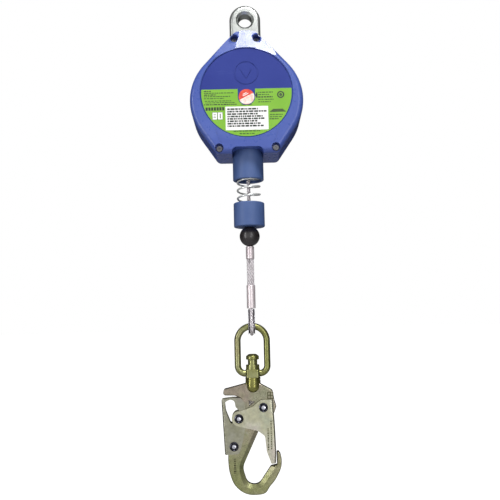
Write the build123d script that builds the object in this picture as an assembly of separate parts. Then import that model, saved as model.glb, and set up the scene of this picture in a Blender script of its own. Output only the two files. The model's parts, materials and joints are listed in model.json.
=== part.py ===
from build123d import *
import math
import os

# Self retracting lifeline with a swivel snap hook, in millimetres.
# Origin at the centre of the anchor eye's hole, +Z up, +X to the right, front face towards -Y.

# Anchor eye
EYE_HALF_WIDTH = 20.0
EYE_ARC_Z = 0.7
EYE_HALF_THICK = 10.0
EYE_HOLE_R = 9.0
EYE_EDGE_R = 5.0
EYE_COUNTERSINK = 2.8
EYE_FOOT_Z = -30.5
SHANK_HALF_WIDTH = 9.0
SHANK_HALF_THICK = 8.5
SHANK_BOTTOM_Z = -43.0

# Housing
SHELL_TOP_Z = -21.5
SHELL_BOTTOM_Z = -180.5
SHELL_Z = -112.0
SHELL_R = 67.9
SHELL_SIDE_X = 3.0
SHELL_HALF_DEPTH = 31.0
SHELL_WALL = 3.0
SHELL_EDGE_R = 6.5
CORNER_R = 7.5
NECK_CORNER_R = 4.0
NECK_CORNER_X = 10.4
FOOT_CORNER_X = 34.6
NECK_SLOPE_Z = -47.0
NECK_SLOPE_DROP = 6.5
FLANK_EXTRA_DROP = 1.6
FLANK_TILT = 5.0
FLANK_SPREAD = 12.0
HUMP_TOP_X = 6.5
HUMP_FOOT_X = 13.0
SEAM_CHAMFER = 0.5
ARCH_TOP_Z = -173.0
ARCH_CORNER_R = 6.0
ARCH_WALL = 1.0
RIB_HEIGHT = 0.5
DISC_Z = -103.6
DISC_R = 57.5
DISC_DEPTH = 1.6
DISC_LIP = 0.8
CAVITY_HALF_DEPTH = 26.5
TOP_SCREW_X = 14.0
TOP_SCREW_Z = -32.2
FOOT_SCREW_X = 35.0
FOOT_SCREW_Z = -174.0
TOP_COUNTERBORE_R = 5.2
FOOT_COUNTERBORE_R = 5.4
POST_R = 4.5
SCREW_R = 2.0
SCREW_SEAT_Y = -22.4
TOP_SCREW_SEAT_Y = -15.0
COUNTERBORE_WALL = 1.4
SCREW_HEAD_R = 3.5
SCREW_HEAD_HEIGHT = 3.0
SUSPENSION_HEAD_R = 5.5
SCREW_END_Y = 18.0

# Labels
LABEL_R = 56.3
LABEL_TOP_Z = -99.5
LABEL_THICK = 0.5
STICKER_THICK = 0.25
NOTCH_R = 10.8
ROUND_STICKER_R = 9.75
ROUND_STICKER_Z = -109.5

# Drum and brake, on an axis along Y
AXIS_Z = -103.6
AXLE_R = 6.0
BUSH_R = 8.0
RUNNING = 0.05
BOSS_R = 12.0
HUB_R = 20.0
DRUM_HALF_WIDTH = 9.2
FLANGE_THICK = 2.2
FLANGE_R = 50.5
ROPE_R = 2.25
LAYER_PITCH = 4.05
TURN_PITCH = 4.6
FULL_LAYERS = 6
TAKE_OFF_R = 47.4
RATCHET_TIP_R = 46.5
RATCHET_ROOT_R = 50.5
RATCHET_TEETH = 12
BRAKE_OUTER_R = 56.0
LINING_INNER_R = 51.2
CLAMP_OUTER_R = 60.5
BRAKE_SCREW_R = 58.3
BRAKE_SCREWS = 6
PAWL_PIN_RADIUS = 34.0
PAWL_PIN_R = 2.5

# Y stations between the shells, front to rear
PLATE_FRONT_Y = -20.4
PLATE_THICK = 2.5
LINING_THICK = 1.5
BRAKE_FRONT_Y = -16.4
BRAKE_REAR_Y = -12.2
CASE_FRONT_Y = 13.0
PLATE_REAR_Y = 21.0
PLATE_R = 61.0
PLATE_EYE_R = 8.0
POST_GAP = 0.5
SPACER_X = 36.0
SPACER_Z = -159.0
SUSPENSION_Z = -34.0

# Spout, buffer and stop ball, on the Z axis
SPOUT_R = 19.5
SPOUT_BORE_R = 15.8
SPOUT_TOP_Z = -170.6
SPOUT_FLANGE_Z = -171.9
SPOUT_MOUTH_Z = -209.8
SPOUT_FLANGE_R = 22.5
GUIDE_FLARE_Z = -177.0
GUIDE_FLARE_R = 18.5
GUIDE_THROAT_R = 3.2
GUIDE_BOTTOM_Z = -186.0
ROPE_BEND_R = 22.0
ROPE_BEND_Z = -168.0
SPRING_WIRE_R = 1.15
SPRING_MEAN_R = 14.1
SPRING_TURNS = 7
SLEEVE_TOP_Z = -238.6
SLEEVE_BOTTOM_Z = -269.2
SLEEVE_FLOOR = 4.0
SLEEVE_HOLE_R = 6.0
BALL_R = 12.65
BALL_Z = -280.8
RUN_END_Z = -268.4

# Rope end
LEG_X = 2.3
UPPER_FERRULE = (5.2, -293.6, -309.5)
LOWER_FERRULE = (5.4, -342.3, -371.2)
LEG_TURN_Z = -357.0
BAIL_PIVOT_Z = -393.2
THIMBLE_INNER_R = 5.8
THIMBLE_WALL = 1.4
THIMBLE_HALF_WIDTH = 4.4

# Swivel bail and stud
BAIL_WIRE_R = 4.0
BAIL_HALF_WIDTH = 18.15
BAIL_BOTTOM_Z = -450.9
BOSS_TOP_Z = -445.7
BOSS_BOTTOM_Z = -455.3
BOSS_HALF_WIDTH = 8.6
BOSS_HALF_DEPTH = 10.4
BOSS_CORNER_R = 3.5
COLLAR_R = 8.3
COLLAR_TOP_Z = -440.3
SWIVEL_BUSH_R = 5.85
SWIVEL_BUSH_TOP_Z = -434.2
STUD_R = 4.8
STUD_HEAD_R = 8.0
STUD_HEAD_Z = -434.0
STUD_TOP_Z = -427.2
STUD_END_Z = -466.0

# Snap hook
HOOK_HALF_THICK = 5.5
BARREL_R = 9.3
BARREL_TOP_Z = -455.7
BARREL_BALL_Z = -466.0
BARREL_GROOVE_Z = -458.6
BARREL_GROOVE = 0.6
GATE_PIVOT = (12.0, -491.1)
LATCH_PIN = (-18.0, -503.9)
LEVER_PIVOT = (-24.5, -536.8)
RIVET_R = 2.6
LATCH_PIN_R = 1.8
LATCH_EYE_R = 8.8
RIVET_HEAD_R = 5.5
LEVER_INNER_Y = 5.8
LEVER_OUTER_Y = 7.2
GATE_INNER_Y = 7.5
GATE_OUTER_Y = 9.1
SLOT_HALF = 2.2
SLOT_R = 7.0
HOOK_EDGE_R = 1.5
BEND_R = 3.0
THROAT = [(4.9, -521.0, 0), (-15.0, -562.6, 18), (-8.8, -582.4, 10), (4.6, -582.4, 10), (19.4, -561.6, 0)]
BOW_BOTTOM = (-1.0, -594.6)
BEVEL_DEPTH = 2.4
BEVEL_ANGLE = 64.0
WINDOW_DEPTH = 4.0


def disc_y(radius, y0, y1, x=0.0, z=0.0):
    """Cylinder along Y."""
    return Pos(x, (y0 + y1) / 2, z) * Rot(90, 0, 0) * Cylinder(radius, y1 - y0)


def tube_y(outer, inner, y0, y1, x=0.0, z=0.0):
    return disc_y(outer, y0, y1, x, z) - disc_y(inner, y0 - 1, y1 + 1, x, z)


def disc_z(radius, z0, z1, x=0.0, y=0.0):
    """Cylinder along Z."""
    return Pos(x, y, (z0 + z1) / 2) * Cylinder(radius, z1 - z0)


def tube_z(outer, inner, z0, z1):
    return disc_z(outer, z0, z1) - disc_z(inner, z0 - 1, z1 + 1)


def slab(x0, x1, y0, y1, z0, z1):
    return Pos((x0 + x1) / 2, (y0 + y1) / 2, (z0 + z1) / 2) * Box(x1 - x0, y1 - y0, z1 - z0)


def extrude_y(sketch, y0, y1):
    """Extrude a sketch drawn with local (x, y) = (X, Z) from y0 to y1."""
    face = Pos(0, y0, 0) * (Plane.XZ * sketch)
    return extrude(face, y1 - y0, dir=(0, 1, 0))


def rounded(points):
    """Closed outline from (x, z, corner radius) rows."""
    corners = [(x, z) for x, z, radius in points]
    radii = [radius for x, z, radius in points]
    return make_face(FilletPolyline(*corners, radius=radii, close=True))


def outer_rims(body, half):
    """Edges that lie on the two faces at y = -half and y = +half."""
    return [edge for edge in body.edges() if abs(abs(edge.center().Y) - half) < 0.01]


def hull(circles):
    """Convex outline round (x, z, radius) circles."""
    edges = [Pos(x, z) * CenterArc((0, 0), radius, 0, 360) for x, z, radius in circles]
    return make_hull([edge for arc in edges for edge in arc.edges()])


def ring_of(make, count, radius, first_angle=0.0):
    """Copies of make(x, z) on a circle round the drum axis."""
    solids = []
    for i in range(count):
        angle = math.radians(first_angle + 360.0 * i / count)
        solids.append(make(radius * math.sin(angle), AXIS_Z + radius * math.cos(angle)))
    return solids


def group(solids):
    """Separate solids kept as one node."""
    parts = []
    for solid in solids:
        parts.extend(solid.solids())
    return Compound(children=parts)


def revolve_z(points, radii=0):
    """Turn (radius, z) points about the Z axis."""
    face = Plane.XZ * make_face(FilletPolyline(*points, radius=radii, close=True))
    return revolve(face, Axis.Z)


# ---- housing ----

def housing_outline(inset):
    """Drop shape round two large circles, a narrow neck and the foot."""
    neck_z = SHELL_TOP_Z - NECK_CORNER_R
    foot_z = SHELL_BOTTOM_Z + CORNER_R
    circles = []
    for side in (-1, 1):
        circles.append((side * SHELL_SIDE_X, SHELL_Z, SHELL_R - inset))
        circles.append((side * NECK_CORNER_X, neck_z, NECK_CORNER_R - inset))
        circles.append((side * FOOT_CORNER_X, foot_z, CORNER_R - inset))
    return hull(circles)


def slope_cut(half_depth, side, drop=NECK_SLOPE_DROP):
    """Wedge that thins the neck of a shell towards the anchor eye."""
    top = SHELL_TOP_Z + 1
    profile = Polyline(
        (side * half_depth, NECK_SLOPE_Z), (side * (half_depth - drop), top),
        (side * (half_depth + 5), top), (side * (half_depth + 5), NECK_SLOPE_Z), close=True)
    return extrude(Pos(-40, 0, 0) * (Plane.YZ * make_face(profile)), 80, dir=(1, 0, 0))


def neck_flanks():
    """The neck on both sides of its raised middle: each flank slopes back further and away to its side."""
    top = SHELL_TOP_Z + 1
    drop = NECK_SLOPE_DROP + FLANK_EXTRA_DROP
    steepness = drop / (top - NECK_SLOPE_Z)
    foot = NECK_SLOPE_Z - FLANK_SPREAD
    front = -SHELL_HALF_DEPTH - FLANK_SPREAD
    profile = Polyline((-SHELL_HALF_DEPTH - FLANK_SPREAD * steepness, foot), (-SHELL_HALF_DEPTH + drop, top),
                       (front, top), (front, foot), close=True)
    wedge = extrude(Plane.YZ * make_face(profile), 60, dir=(1, 0, 0))
    hump = make_face(Polyline((-HUMP_TOP_X, top + 1), (HUMP_TOP_X, top + 1), (HUMP_FOOT_X, NECK_SLOPE_Z),
                              (0, foot - 1), (-HUMP_FOOT_X, NECK_SLOPE_Z), close=True))
    right = Rot(0, 0, FLANK_TILT) * wedge
    return (right + mirror(right, Plane.YZ)) - extrude_y(hump, front - 10, 0)


def spout_arch(side, clearance):
    """Space of the arched pocket in a shell's foot through which the spout shows."""
    top = ARCH_TOP_Z + clearance
    half = SPOUT_R + clearance
    bottom = SHELL_BOTTOM_Z - 1
    outline = rounded([(-half, bottom, 0), (-half, top, ARCH_CORNER_R), (half, top, ARCH_CORNER_R),
                       (half, bottom, 0)])
    y0, y1 = sorted((0, side * (SHELL_HALF_DEPTH + 1)))
    return extrude_y(outline, y0, y1)


def half_shell(side):
    """One hollow shell; side is -1 for the front and +1 for the rear."""
    y0, y1 = sorted((0, side * SHELL_HALF_DEPTH))
    body = extrude_y(housing_outline(0), y0, y1)
    face = body.faces().sort_by(Axis.Y)[0 if side < 0 else -1]
    body = fillet(face.edges(), SHELL_EDGE_R)
    seam = body.faces().sort_by(Axis.Y)[-1 if side < 0 else 0]
    body = chamfer(seam.edges(), SEAM_CHAMFER)
    solid = body
    y0, y1 = sorted((-side, side * CAVITY_HALF_DEPTH))
    cavity = extrude_y(housing_outline(SHELL_WALL), y0, y1)
    if side < 0:
        body -= slope_cut(SHELL_HALF_DEPTH, side)
        body -= neck_flanks()
        cavity -= slope_cut(CAVITY_HALF_DEPTH, side)
    body -= cavity
    body += spout_arch(side, ARCH_WALL) & solid
    body -= spout_arch(side, 0.0)
    y0, y1 = sorted((side * (SHELL_HALF_DEPTH - DISC_DEPTH), side * (SHELL_HALF_DEPTH + 5)))
    body -= disc_y(DISC_R, y0, y1, 0, DISC_Z)
    lip = Cone(DISC_R, DISC_R + 2 * DISC_LIP, 2 * DISC_LIP)
    body -= Pos(0, side * SHELL_HALF_DEPTH, DISC_Z) * Rot(-90 * side, 0, 0) * lip
    body -= slab(-SHANK_HALF_WIDTH - 0.3, SHANK_HALF_WIDTH + 0.3,
                 -SHANK_HALF_THICK - 0.3, SHANK_HALF_THICK + 0.3, SHELL_TOP_Z - 5, SHELL_TOP_Z + 1)
    return body - disc_z(SPOUT_R + 0.2, SHELL_BOTTOM_Z - 1, ARCH_TOP_Z + ARCH_WALL + 1)


def screw_places():
    rows = []
    for side in (-1, 1):
        rows.append((side * TOP_SCREW_X, TOP_SCREW_Z, TOP_COUNTERBORE_R, TOP_SCREW_SEAT_Y))
        rows.append((side * FOOT_SCREW_X, FOOT_SCREW_Z, FOOT_COUNTERBORE_R, SCREW_SEAT_Y))
    return rows


def front_shell():
    body = half_shell(-1)
    for x, z, counterbore, seat in screw_places():
        body += disc_y(POST_R, -CAVITY_HALF_DEPTH - 0.5, 0, x, z)
        floor = seat + COUNTERBORE_WALL
        pocket = disc_y(counterbore + COUNTERBORE_WALL, -CAVITY_HALF_DEPTH - 0.5, floor, x, z)
        body += pocket & extrude_y(housing_outline(1), -CAVITY_HALF_DEPTH - 0.5, floor)
    for x, z, counterbore, seat in screw_places():
        body -= disc_y(counterbore, -SHELL_HALF_DEPTH - 1, seat, x, z)
        body -= disc_y(SCREW_R + 0.2, seat - 1, 1, x, z)
    mark_y = -SHELL_HALF_DEPTH + DISC_DEPTH
    body += tube_y(15.2, 13.9, mark_y - 0.6, mark_y + 0.4, 0, -78)
    arrow = make_face(Polyline((-7, -74), (7, -74), (0, -86), close=True))
    body += extrude_y(arrow, mark_y - 0.6, mark_y + 0.4)
    for side in (-1, 1):
        rib = make_face(Polyline((side * 39.7, -149), (side * 38.3, -149), (side * 32.3, -166),
                                 (side * 33.7, -166), close=True))
        body += extrude_y(rib, -SHELL_HALF_DEPTH - RIB_HEIGHT, -SHELL_HALF_DEPTH + 0.5)
    return body


def rear_shell():
    body = half_shell(1)
    for x, z, counterbore, seat in screw_places():
        body += disc_y(POST_R, 0, CAVITY_HALF_DEPTH + 0.5, x, z)
        body -= disc_y(SCREW_R + 0.02, -1, SCREW_END_Y + 0.5, x, z)
    return body


def shell_screw(x, z, seat):
    head = disc_y(SCREW_HEAD_R, seat - SCREW_HEAD_HEIGHT, seat, x, z)
    socket = extrude_y(Pos(x, z) * RegularPolygon(1.7, 6), seat - SCREW_HEAD_HEIGHT - 1, seat - 1.2)
    return head + disc_y(SCREW_R, seat, SCREW_END_Y, x, z) - socket


def shell_screws():
    return group([shell_screw(x, z, seat) for x, z, counterbore, seat in screw_places()])


def label_outline():
    disc = Pos(0, DISC_Z) * Circle(LABEL_R)
    disc -= Pos(0, LABEL_TOP_Z + 50) * Rectangle(200, 100)
    notch = Pos(0, ROUND_STICKER_Z) * Circle(NOTCH_R)
    notch += Pos(0, ROUND_STICKER_Z + 20) * Rectangle(2 * NOTCH_R, 40)
    return disc - notch


def label_plate():
    y1 = -SHELL_HALF_DEPTH + DISC_DEPTH
    return extrude_y(label_outline(), y1 - LABEL_THICK, y1)


def data_sticker():
    y1 = -SHELL_HALF_DEPTH + DISC_DEPTH - LABEL_THICK
    return slab(-26.5, 26.5, y1 - STICKER_THICK, y1, -152, -122)


def inspection_sticker():
    y1 = -SHELL_HALF_DEPTH + DISC_DEPTH
    return disc_y(ROUND_STICKER_R, y1 - STICKER_THICK, y1, 0, ROUND_STICKER_Z)


# ---- anchor eye and frame ----

def anchor_eye():
    outline = Pos(0, EYE_ARC_Z) * Circle(EYE_HALF_WIDTH)
    height = EYE_ARC_Z - EYE_FOOT_Z
    outline += Pos(0, EYE_ARC_Z - height / 2) * Rectangle(2 * EYE_HALF_WIDTH, height)
    body = extrude_y(outline, -EYE_HALF_THICK, EYE_HALF_THICK)
    rims = [edge for edge in outer_rims(body, EYE_HALF_THICK) if edge.center().Z > EYE_FOOT_Z + 0.5]
    body = fillet(rims, EYE_EDGE_R)
    body -= disc_y(EYE_HOLE_R, -EYE_HALF_THICK - 1, EYE_HALF_THICK + 1)
    rims = [edge for edge in body.edges().filter_by(GeomType.CIRCLE)
            if abs(edge.radius - EYE_HOLE_R) < 0.01]
    body = chamfer(rims, EYE_COUNTERSINK)
    body -= extrude_y(housing_outline(0), -EYE_HALF_THICK - 1, EYE_HALF_THICK + 1)
    body += slab(-SHANK_HALF_WIDTH, SHANK_HALF_WIDTH, -SHANK_HALF_THICK, SHANK_HALF_THICK,
                 SHANK_BOTTOM_Z, SHELL_TOP_Z + 0.5)
    return body - disc_y(4.1, -20, 20, 0, SUSPENSION_Z)


def frame_plate(y0, post):
    y1 = y0 + PLATE_THICK
    plate = extrude_y(hull([(0, AXIS_Z, PLATE_R), (0, SUSPENSION_Z, PLATE_EYE_R),
                            (-SPACER_X, SPACER_Z, 6.5), (SPACER_X, SPACER_Z, 6.5)]), y0, y1)
    plate -= disc_y(AXLE_R + 0.02, y0 - 1, y1 + 1, 0, AXIS_Z)
    plate -= disc_y(4.1, y0 - 1, y1 + 1, 0, SUSPENSION_Z)
    for side in (-1, 1):
        plate -= disc_y(2.1, y0 - 1, y1 + 1, side * SPACER_X, SPACER_Z)
        plate -= disc_y(post + POST_GAP, y0 - 1, y1 + 1, side * TOP_SCREW_X, TOP_SCREW_Z)
    return plate


def frame_plate_front():
    plate = frame_plate(PLATE_FRONT_Y, TOP_COUNTERBORE_R + COUNTERBORE_WALL)
    holes = ring_of(lambda x, z: disc_y(1.7, PLATE_FRONT_Y - 1, PLATE_FRONT_Y + 4, x, z),
                    BRAKE_SCREWS, BRAKE_SCREW_R, 30)
    for hole in holes:
        plate -= hole
    return plate


def frame_plate_rear():
    return frame_plate(PLATE_REAR_Y, POST_R)


def frame_spacers():
    return group([tube_y(5.0, 2.1, PLATE_FRONT_Y + PLATE_THICK, PLATE_REAR_Y, side * SPACER_X, SPACER_Z)
                  for side in (-1, 1)])


def frame_bolt(x):
    rear = PLATE_REAR_Y + PLATE_THICK
    bolt = disc_y(2.0, PLATE_FRONT_Y, rear + 1.8, x, SPACER_Z)
    bolt += disc_y(3.8, PLATE_FRONT_Y - 2.2, PLATE_FRONT_Y, x, SPACER_Z)
    return bolt + extrude_y(Pos(x, SPACER_Z) * RegularPolygon(3.8, 6), rear, rear + 1.8)


def frame_bolts():
    return group([frame_bolt(-SPACER_X), frame_bolt(SPACER_X)])


def suspension_bolt():
    bolt = disc_y(4.0, PLATE_FRONT_Y, PLATE_REAR_Y + PLATE_THICK, 0, SUSPENSION_Z)
    return bolt + disc_y(SUSPENSION_HEAD_R, PLATE_FRONT_Y - 1.3, PLATE_FRONT_Y, 0, SUSPENSION_Z)


def suspension_nut():
    rear = PLATE_REAR_Y + PLATE_THICK
    return extrude_y(Pos(0, SUSPENSION_Z) * RegularPolygon(6.2, 6), rear, rear + 2.5)


def distance_bushes():
    front = tube_y(6.0, 4.1, PLATE_FRONT_Y + PLATE_THICK, -SHANK_HALF_THICK, 0, SUSPENSION_Z)
    rear = tube_y(6.0, 4.1, SHANK_HALF_THICK, PLATE_REAR_Y, 0, SUSPENSION_Z)
    return group([front, rear])


def axle():
    return disc_y(AXLE_R, PLATE_FRONT_Y - 2.4, PLATE_REAR_Y + PLATE_THICK + 2.4, 0, AXIS_Z)


def axle_rings():
    rear = PLATE_REAR_Y + PLATE_THICK
    return group([tube_y(9.0, AXLE_R, PLATE_FRONT_Y - 1.2, PLATE_FRONT_Y, 0, AXIS_Z),
                  tube_y(9.0, AXLE_R, rear, rear + 1.2, 0, AXIS_Z)])


# ---- drum ----

def drum_bushes():
    return group([tube_y(BUSH_R, AXLE_R + RUNNING, y0, y0 + 8, 0, AXIS_Z) for y0 in (-12.0, 12.0)])


def rivet_holes(y0, y1):
    return ring_of(lambda x, z: disc_y(2.0, y0, y1, x, z), 4, 16.0, 45)


def drum_hub():
    body = disc_y(HUB_R, -DRUM_HALF_WIDTH, DRUM_HALF_WIDTH, 0, AXIS_Z)
    body += disc_y(BOSS_R, -12.4, 20.4, 0, AXIS_Z)
    body -= disc_y(BUSH_R, -20, 30, 0, AXIS_Z)
    for hole in rivet_holes(-20, 30):
        body -= hole
    return body


def drum_flange(y0):
    flange = tube_y(FLANGE_R, BOSS_R, y0, y0 + FLANGE_THICK, 0, AXIS_Z)
    for hole in rivet_holes(y0 - 1, y0 + 4):
        flange -= hole
    return flange


def drum_flange_front():
    flange = drum_flange(-DRUM_HALF_WIDTH - FLANGE_THICK)
    for hole in ring_of(lambda x, z: disc_y(PAWL_PIN_R, -12, -9, x, z), 2, PAWL_PIN_RADIUS):
        flange -= hole
    return flange


def drum_flange_rear():
    return drum_flange(DRUM_HALF_WIDTH)


def drum_rivets():
    edge = DRUM_HALF_WIDTH + FLANGE_THICK

    def rivet(x, z):
        heads = disc_y(3.2, -edge - 1, -edge, x, z) + disc_y(3.2, edge, edge + 1, x, z)
        return heads + disc_y(2.0, -edge, edge, x, z)
    return group(ring_of(rivet, 4, 16.0, 45))


def wound_rope():
    """Full layers of rope between the flanges, with one turn of the next layer at the front."""
    top_layer = HUB_R + ROPE_R + (FULL_LAYERS - 1) * LAYER_PITCH
    profile = Pos(0, (HUB_R + top_layer) / 2) * Rectangle(2 * DRUM_HALF_WIDTH - 0.2, top_layer - HUB_R)
    for turn in range(4):
        profile += Pos((turn - 1.5) * TURN_PITCH, top_layer) * Circle(ROPE_R)
    profile += Pos(-1.5 * TURN_PITCH, top_layer + LAYER_PITCH) * Circle(ROPE_R)
    ring = revolve(Plane.YZ * profile, Axis.Y)
    return Pos(0, 0, AXIS_Z) * ring


def pawl_pins():
    def pin(x, z):
        return disc_y(PAWL_PIN_R, -17.3, -DRUM_HALF_WIDTH - 0.1, x, z)
    return group(ring_of(pin, 2, PAWL_PIN_RADIUS))


def pawl_at(index):
    """Pawl number 0 above the axle, number 1 half a turn round, tip leading clockwise."""
    outline = rounded([(-3, 1.5, 1.2), (8, 5.0, 4), (18.6, 7.8, 0.5), (20.8, 5.2, 0.5), (18.8, 2.6, 0.8),
                       (9, -1.0, 5), (-2, -4.2, 1.5)])
    outline += Circle(4.6)
    outline = Pos(0, PAWL_PIN_RADIUS) * outline
    outline -= Pos(0, PAWL_PIN_RADIUS) * Circle(PAWL_PIN_R + RUNNING)
    pawl = extrude_y(outline, -15.9, -12.0)
    return Pos(0, 0, AXIS_Z) * Rot(0, 180 * index, 0) * pawl


def pawl_springs():
    """Flat two-turn springs on the pawl pins, with one leg lying over each pawl."""
    def spring(index):
        coil = Torus(3.2, 0.3)
        body = Pos(0, -16.4, PAWL_PIN_RADIUS) * Rot(90, 0, 0) * coil
        body += Pos(0, -16.95, PAWL_PIN_RADIUS) * Rot(90, 0, 0) * coil
        body += slab(-0.3, 0.3, -16.95, -16.4, PAWL_PIN_RADIUS + 2.9, PAWL_PIN_RADIUS + 3.5)
        body += slab(-9, -0.1, -16.7, -16.1, PAWL_PIN_RADIUS + 2.9, PAWL_PIN_RADIUS + 3.5)
        return Pos(0, 0, AXIS_Z) * Rot(0, 180 * index, 0) * body
    return group([spring(0), spring(1)])


# ---- brake ----

def brake_ring():
    """Ring with inward ratchet gaps; the steep side of each gap faces the pawl tips."""
    pitch = 360.0 / RATCHET_TEETH
    body = tube_y(BRAKE_OUTER_R, RATCHET_TIP_R, BRAKE_FRONT_Y, BRAKE_REAR_Y)

    def polar(radius, degrees):
        angle = math.radians(degrees)
        return (radius * math.sin(angle), radius * math.cos(angle))
    gap = make_face(Polyline(
        polar(RATCHET_TIP_R - 3, 0), polar(RATCHET_TIP_R - 3, 26), polar(RATCHET_TIP_R, 26),
        polar(RATCHET_ROOT_R, 26), polar(RATCHET_ROOT_R, 15), polar(RATCHET_TIP_R, 0), close=True))
    cutter = extrude_y(gap, BRAKE_FRONT_Y - 1, BRAKE_REAR_Y + 1)
    for tooth in range(RATCHET_TEETH):
        body -= Rot(0, pitch * tooth, 0) * cutter
    return Pos(0, 0, AXIS_Z) * body


def friction_linings():
    faces = ((BRAKE_FRONT_Y - LINING_THICK, BRAKE_FRONT_Y), (BRAKE_REAR_Y, BRAKE_REAR_Y + 1.3))
    return group([tube_y(BRAKE_OUTER_R, LINING_INNER_R, y0, y1, 0, AXIS_Z) for y0, y1 in faces])


def clamp_ring():
    ring = tube_y(CLAMP_OUTER_R, LINING_INNER_R, BRAKE_REAR_Y + 1.3, BRAKE_REAR_Y + 3.3, 0, AXIS_Z)
    for hole in ring_of(lambda x, z: disc_y(1.6, -20, 0, x, z), BRAKE_SCREWS, BRAKE_SCREW_R, 30):
        ring -= hole
    return ring


def brake_screws():
    def screw(x, z):
        head = disc_y(2.9, PLATE_FRONT_Y - 2, PLATE_FRONT_Y, x, z)
        return head + disc_y(1.6, PLATE_FRONT_Y, BRAKE_REAR_Y + 3.3, x, z)
    return group(ring_of(screw, BRAKE_SCREWS, BRAKE_SCREW_R, 30))


# ---- recoil spring ----

def spring_case():
    cup = disc_y(49.2, CASE_FRONT_Y, PLATE_REAR_Y, 0, AXIS_Z)
    cup -= disc_y(48.0, CASE_FRONT_Y + 1, PLATE_REAR_Y + 1, 0, AXIS_Z)
    return cup - disc_y(BOSS_R + 0.8, CASE_FRONT_Y - 1, PLATE_REAR_Y, 0, AXIS_Z)


def power_spring():
    """Spiral strip built from half turns whose centres alternate."""
    step = 1.55
    thick = 0.9
    radius = BOSS_R + 1.4
    spiral = None
    for half_turn in range(20):
        centre = step / 2 if half_turn % 2 else -step / 2
        keep = 50 if half_turn % 2 else -50
        strip = Circle(radius + thick) - Circle(radius)
        strip = Pos(centre, 0) * strip & Pos(0, keep) * Rectangle(200, 100)
        spiral = strip if spiral is None else spiral + strip
        radius += step
    return Pos(0, 0, AXIS_Z) * extrude_y(spiral, CASE_FRONT_Y + 1.3, PLATE_REAR_Y - 0.7)


# ---- rope guide, spout, buffer ----

def rope_guide():
    centre_r = GUIDE_THROAT_R + GUIDE_FLARE_R
    angle = math.radians(38)
    flare_mid = (centre_r - GUIDE_FLARE_R * math.cos(angle / 2),
                 GUIDE_FLARE_Z + GUIDE_FLARE_R * math.sin(angle / 2))
    flare_end = (centre_r - GUIDE_FLARE_R * math.cos(angle), GUIDE_FLARE_Z + GUIDE_FLARE_R * math.sin(angle))
    throat = (GUIDE_THROAT_R, GUIDE_FLARE_Z)
    bore = SPOUT_BORE_R
    outline = Line((GUIDE_THROAT_R, GUIDE_BOTTOM_Z), throat) + ThreePointArc(throat, flare_mid, flare_end)
    outline += Polyline(flare_end, (flare_end[0] + 2.5, flare_end[1]), (bore, SPOUT_TOP_Z),
                        (bore, GUIDE_BOTTOM_Z), (GUIDE_THROAT_R, GUIDE_BOTTOM_Z))
    return revolve(Plane.XZ * make_face(outline), Axis.Z)


def spout():
    body = tube_z(SPOUT_R, SPOUT_BORE_R, SPOUT_MOUTH_Z, SPOUT_TOP_Z)
    mouth = body.edges().group_by(Axis.Z)[0]
    body = fillet(mouth, 1.4)
    return body + tube_z(SPOUT_FLANGE_R, SPOUT_BORE_R, SPOUT_FLANGE_Z, SPOUT_TOP_Z)


def buffer_spring():
    top = GUIDE_BOTTOM_Z - SPRING_WIRE_R
    bottom = SLEEVE_BOTTOM_Z + SLEEVE_FLOOR + SPRING_WIRE_R
    height = top - bottom
    path = Helix(height / SPRING_TURNS, height, SPRING_MEAN_R)
    wire = Plane(path @ 0, z_dir=path % 0) * Circle(SPRING_WIRE_R)
    return Pos(0, 0, bottom) * sweep(wire, path, is_frenet=True)


def buffer_sleeve():
    body = disc_z(SPOUT_R, SLEEVE_BOTTOM_Z, SLEEVE_TOP_Z)
    body -= disc_z(SPOUT_BORE_R, SLEEVE_BOTTOM_Z + SLEEVE_FLOOR, SLEEVE_TOP_Z + 1)
    rims = body.edges().group_by(Axis.Z)
    body = fillet(rims[0] + rims[-1], 1.4)
    return body - disc_z(SLEEVE_HOLE_R, SLEEVE_BOTTOM_Z - 1, SLEEVE_TOP_Z)


# ---- rope ----

def rope_along(points, radii):
    path = FilletPolyline(*points, radius=radii)
    section = Plane(path @ 0, z_dir=path % 0) * Circle(ROPE_R)
    return sweep(section, path)


def rope_run():
    """From the drum's tangent point over the guide's flare, down to the stop ball."""
    reach = ROPE_BEND_Z - AXIS_Z
    lean = math.acos(TAKE_OFF_R / abs(reach))
    start = (TAKE_OFF_R * math.sin(lean), 0, AXIS_Z - TAKE_OFF_R * math.cos(lean))
    return rope_along([start, (0, 0, ROPE_BEND_Z), (0, 0, RUN_END_Z)], ROPE_BEND_R)


def live_leg():
    return rope_along([(0, 0, RUN_END_Z), (0, 0, -296.5), (-LEG_X, 0, -306.0), (-LEG_X, 0, LEG_TURN_Z)], 18)


def dead_leg():
    return disc_z(ROPE_R, LEG_TURN_Z, UPPER_FERRULE[1] - 1.5, LEG_X)


def rope_eye():
    """Loop round the thimble in the YZ plane; its legs stand front and back of the axis."""
    loop_r = THIMBLE_INNER_R + THIMBLE_WALL + ROPE_R
    tip_z = LOWER_FERRULE[2] + 1
    lean = math.radians(34)
    knee = (loop_r * math.cos(lean), BAIL_PIVOT_Z + loop_r * math.sin(lean))
    slope_z = knee[1] + (knee[0] - LEG_X) * math.cos(lean) / math.sin(lean)
    points = [(0, -LEG_X, LEG_TURN_Z), (0, -LEG_X, max(slope_z, tip_z - 8))]
    bottom = BAIL_PIVOT_Z - loop_r
    points += [(0, -loop_r, BAIL_PIVOT_Z + 5), (0, -loop_r, bottom), (0, loop_r, bottom),
               (0, loop_r, BAIL_PIVOT_Z + 5), (0, LEG_X, max(slope_z, tip_z - 8)), (0, LEG_X, LEG_TURN_Z)]
    return rope_along(points, [8, 8, loop_r - 0.05, loop_r - 0.05, 8, 8])


def rope_end():
    """The rope below the ball: both legs and the loop, as three solids that meet in the ferrule."""
    return group([live_leg(), dead_leg(), rope_eye()])


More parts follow.
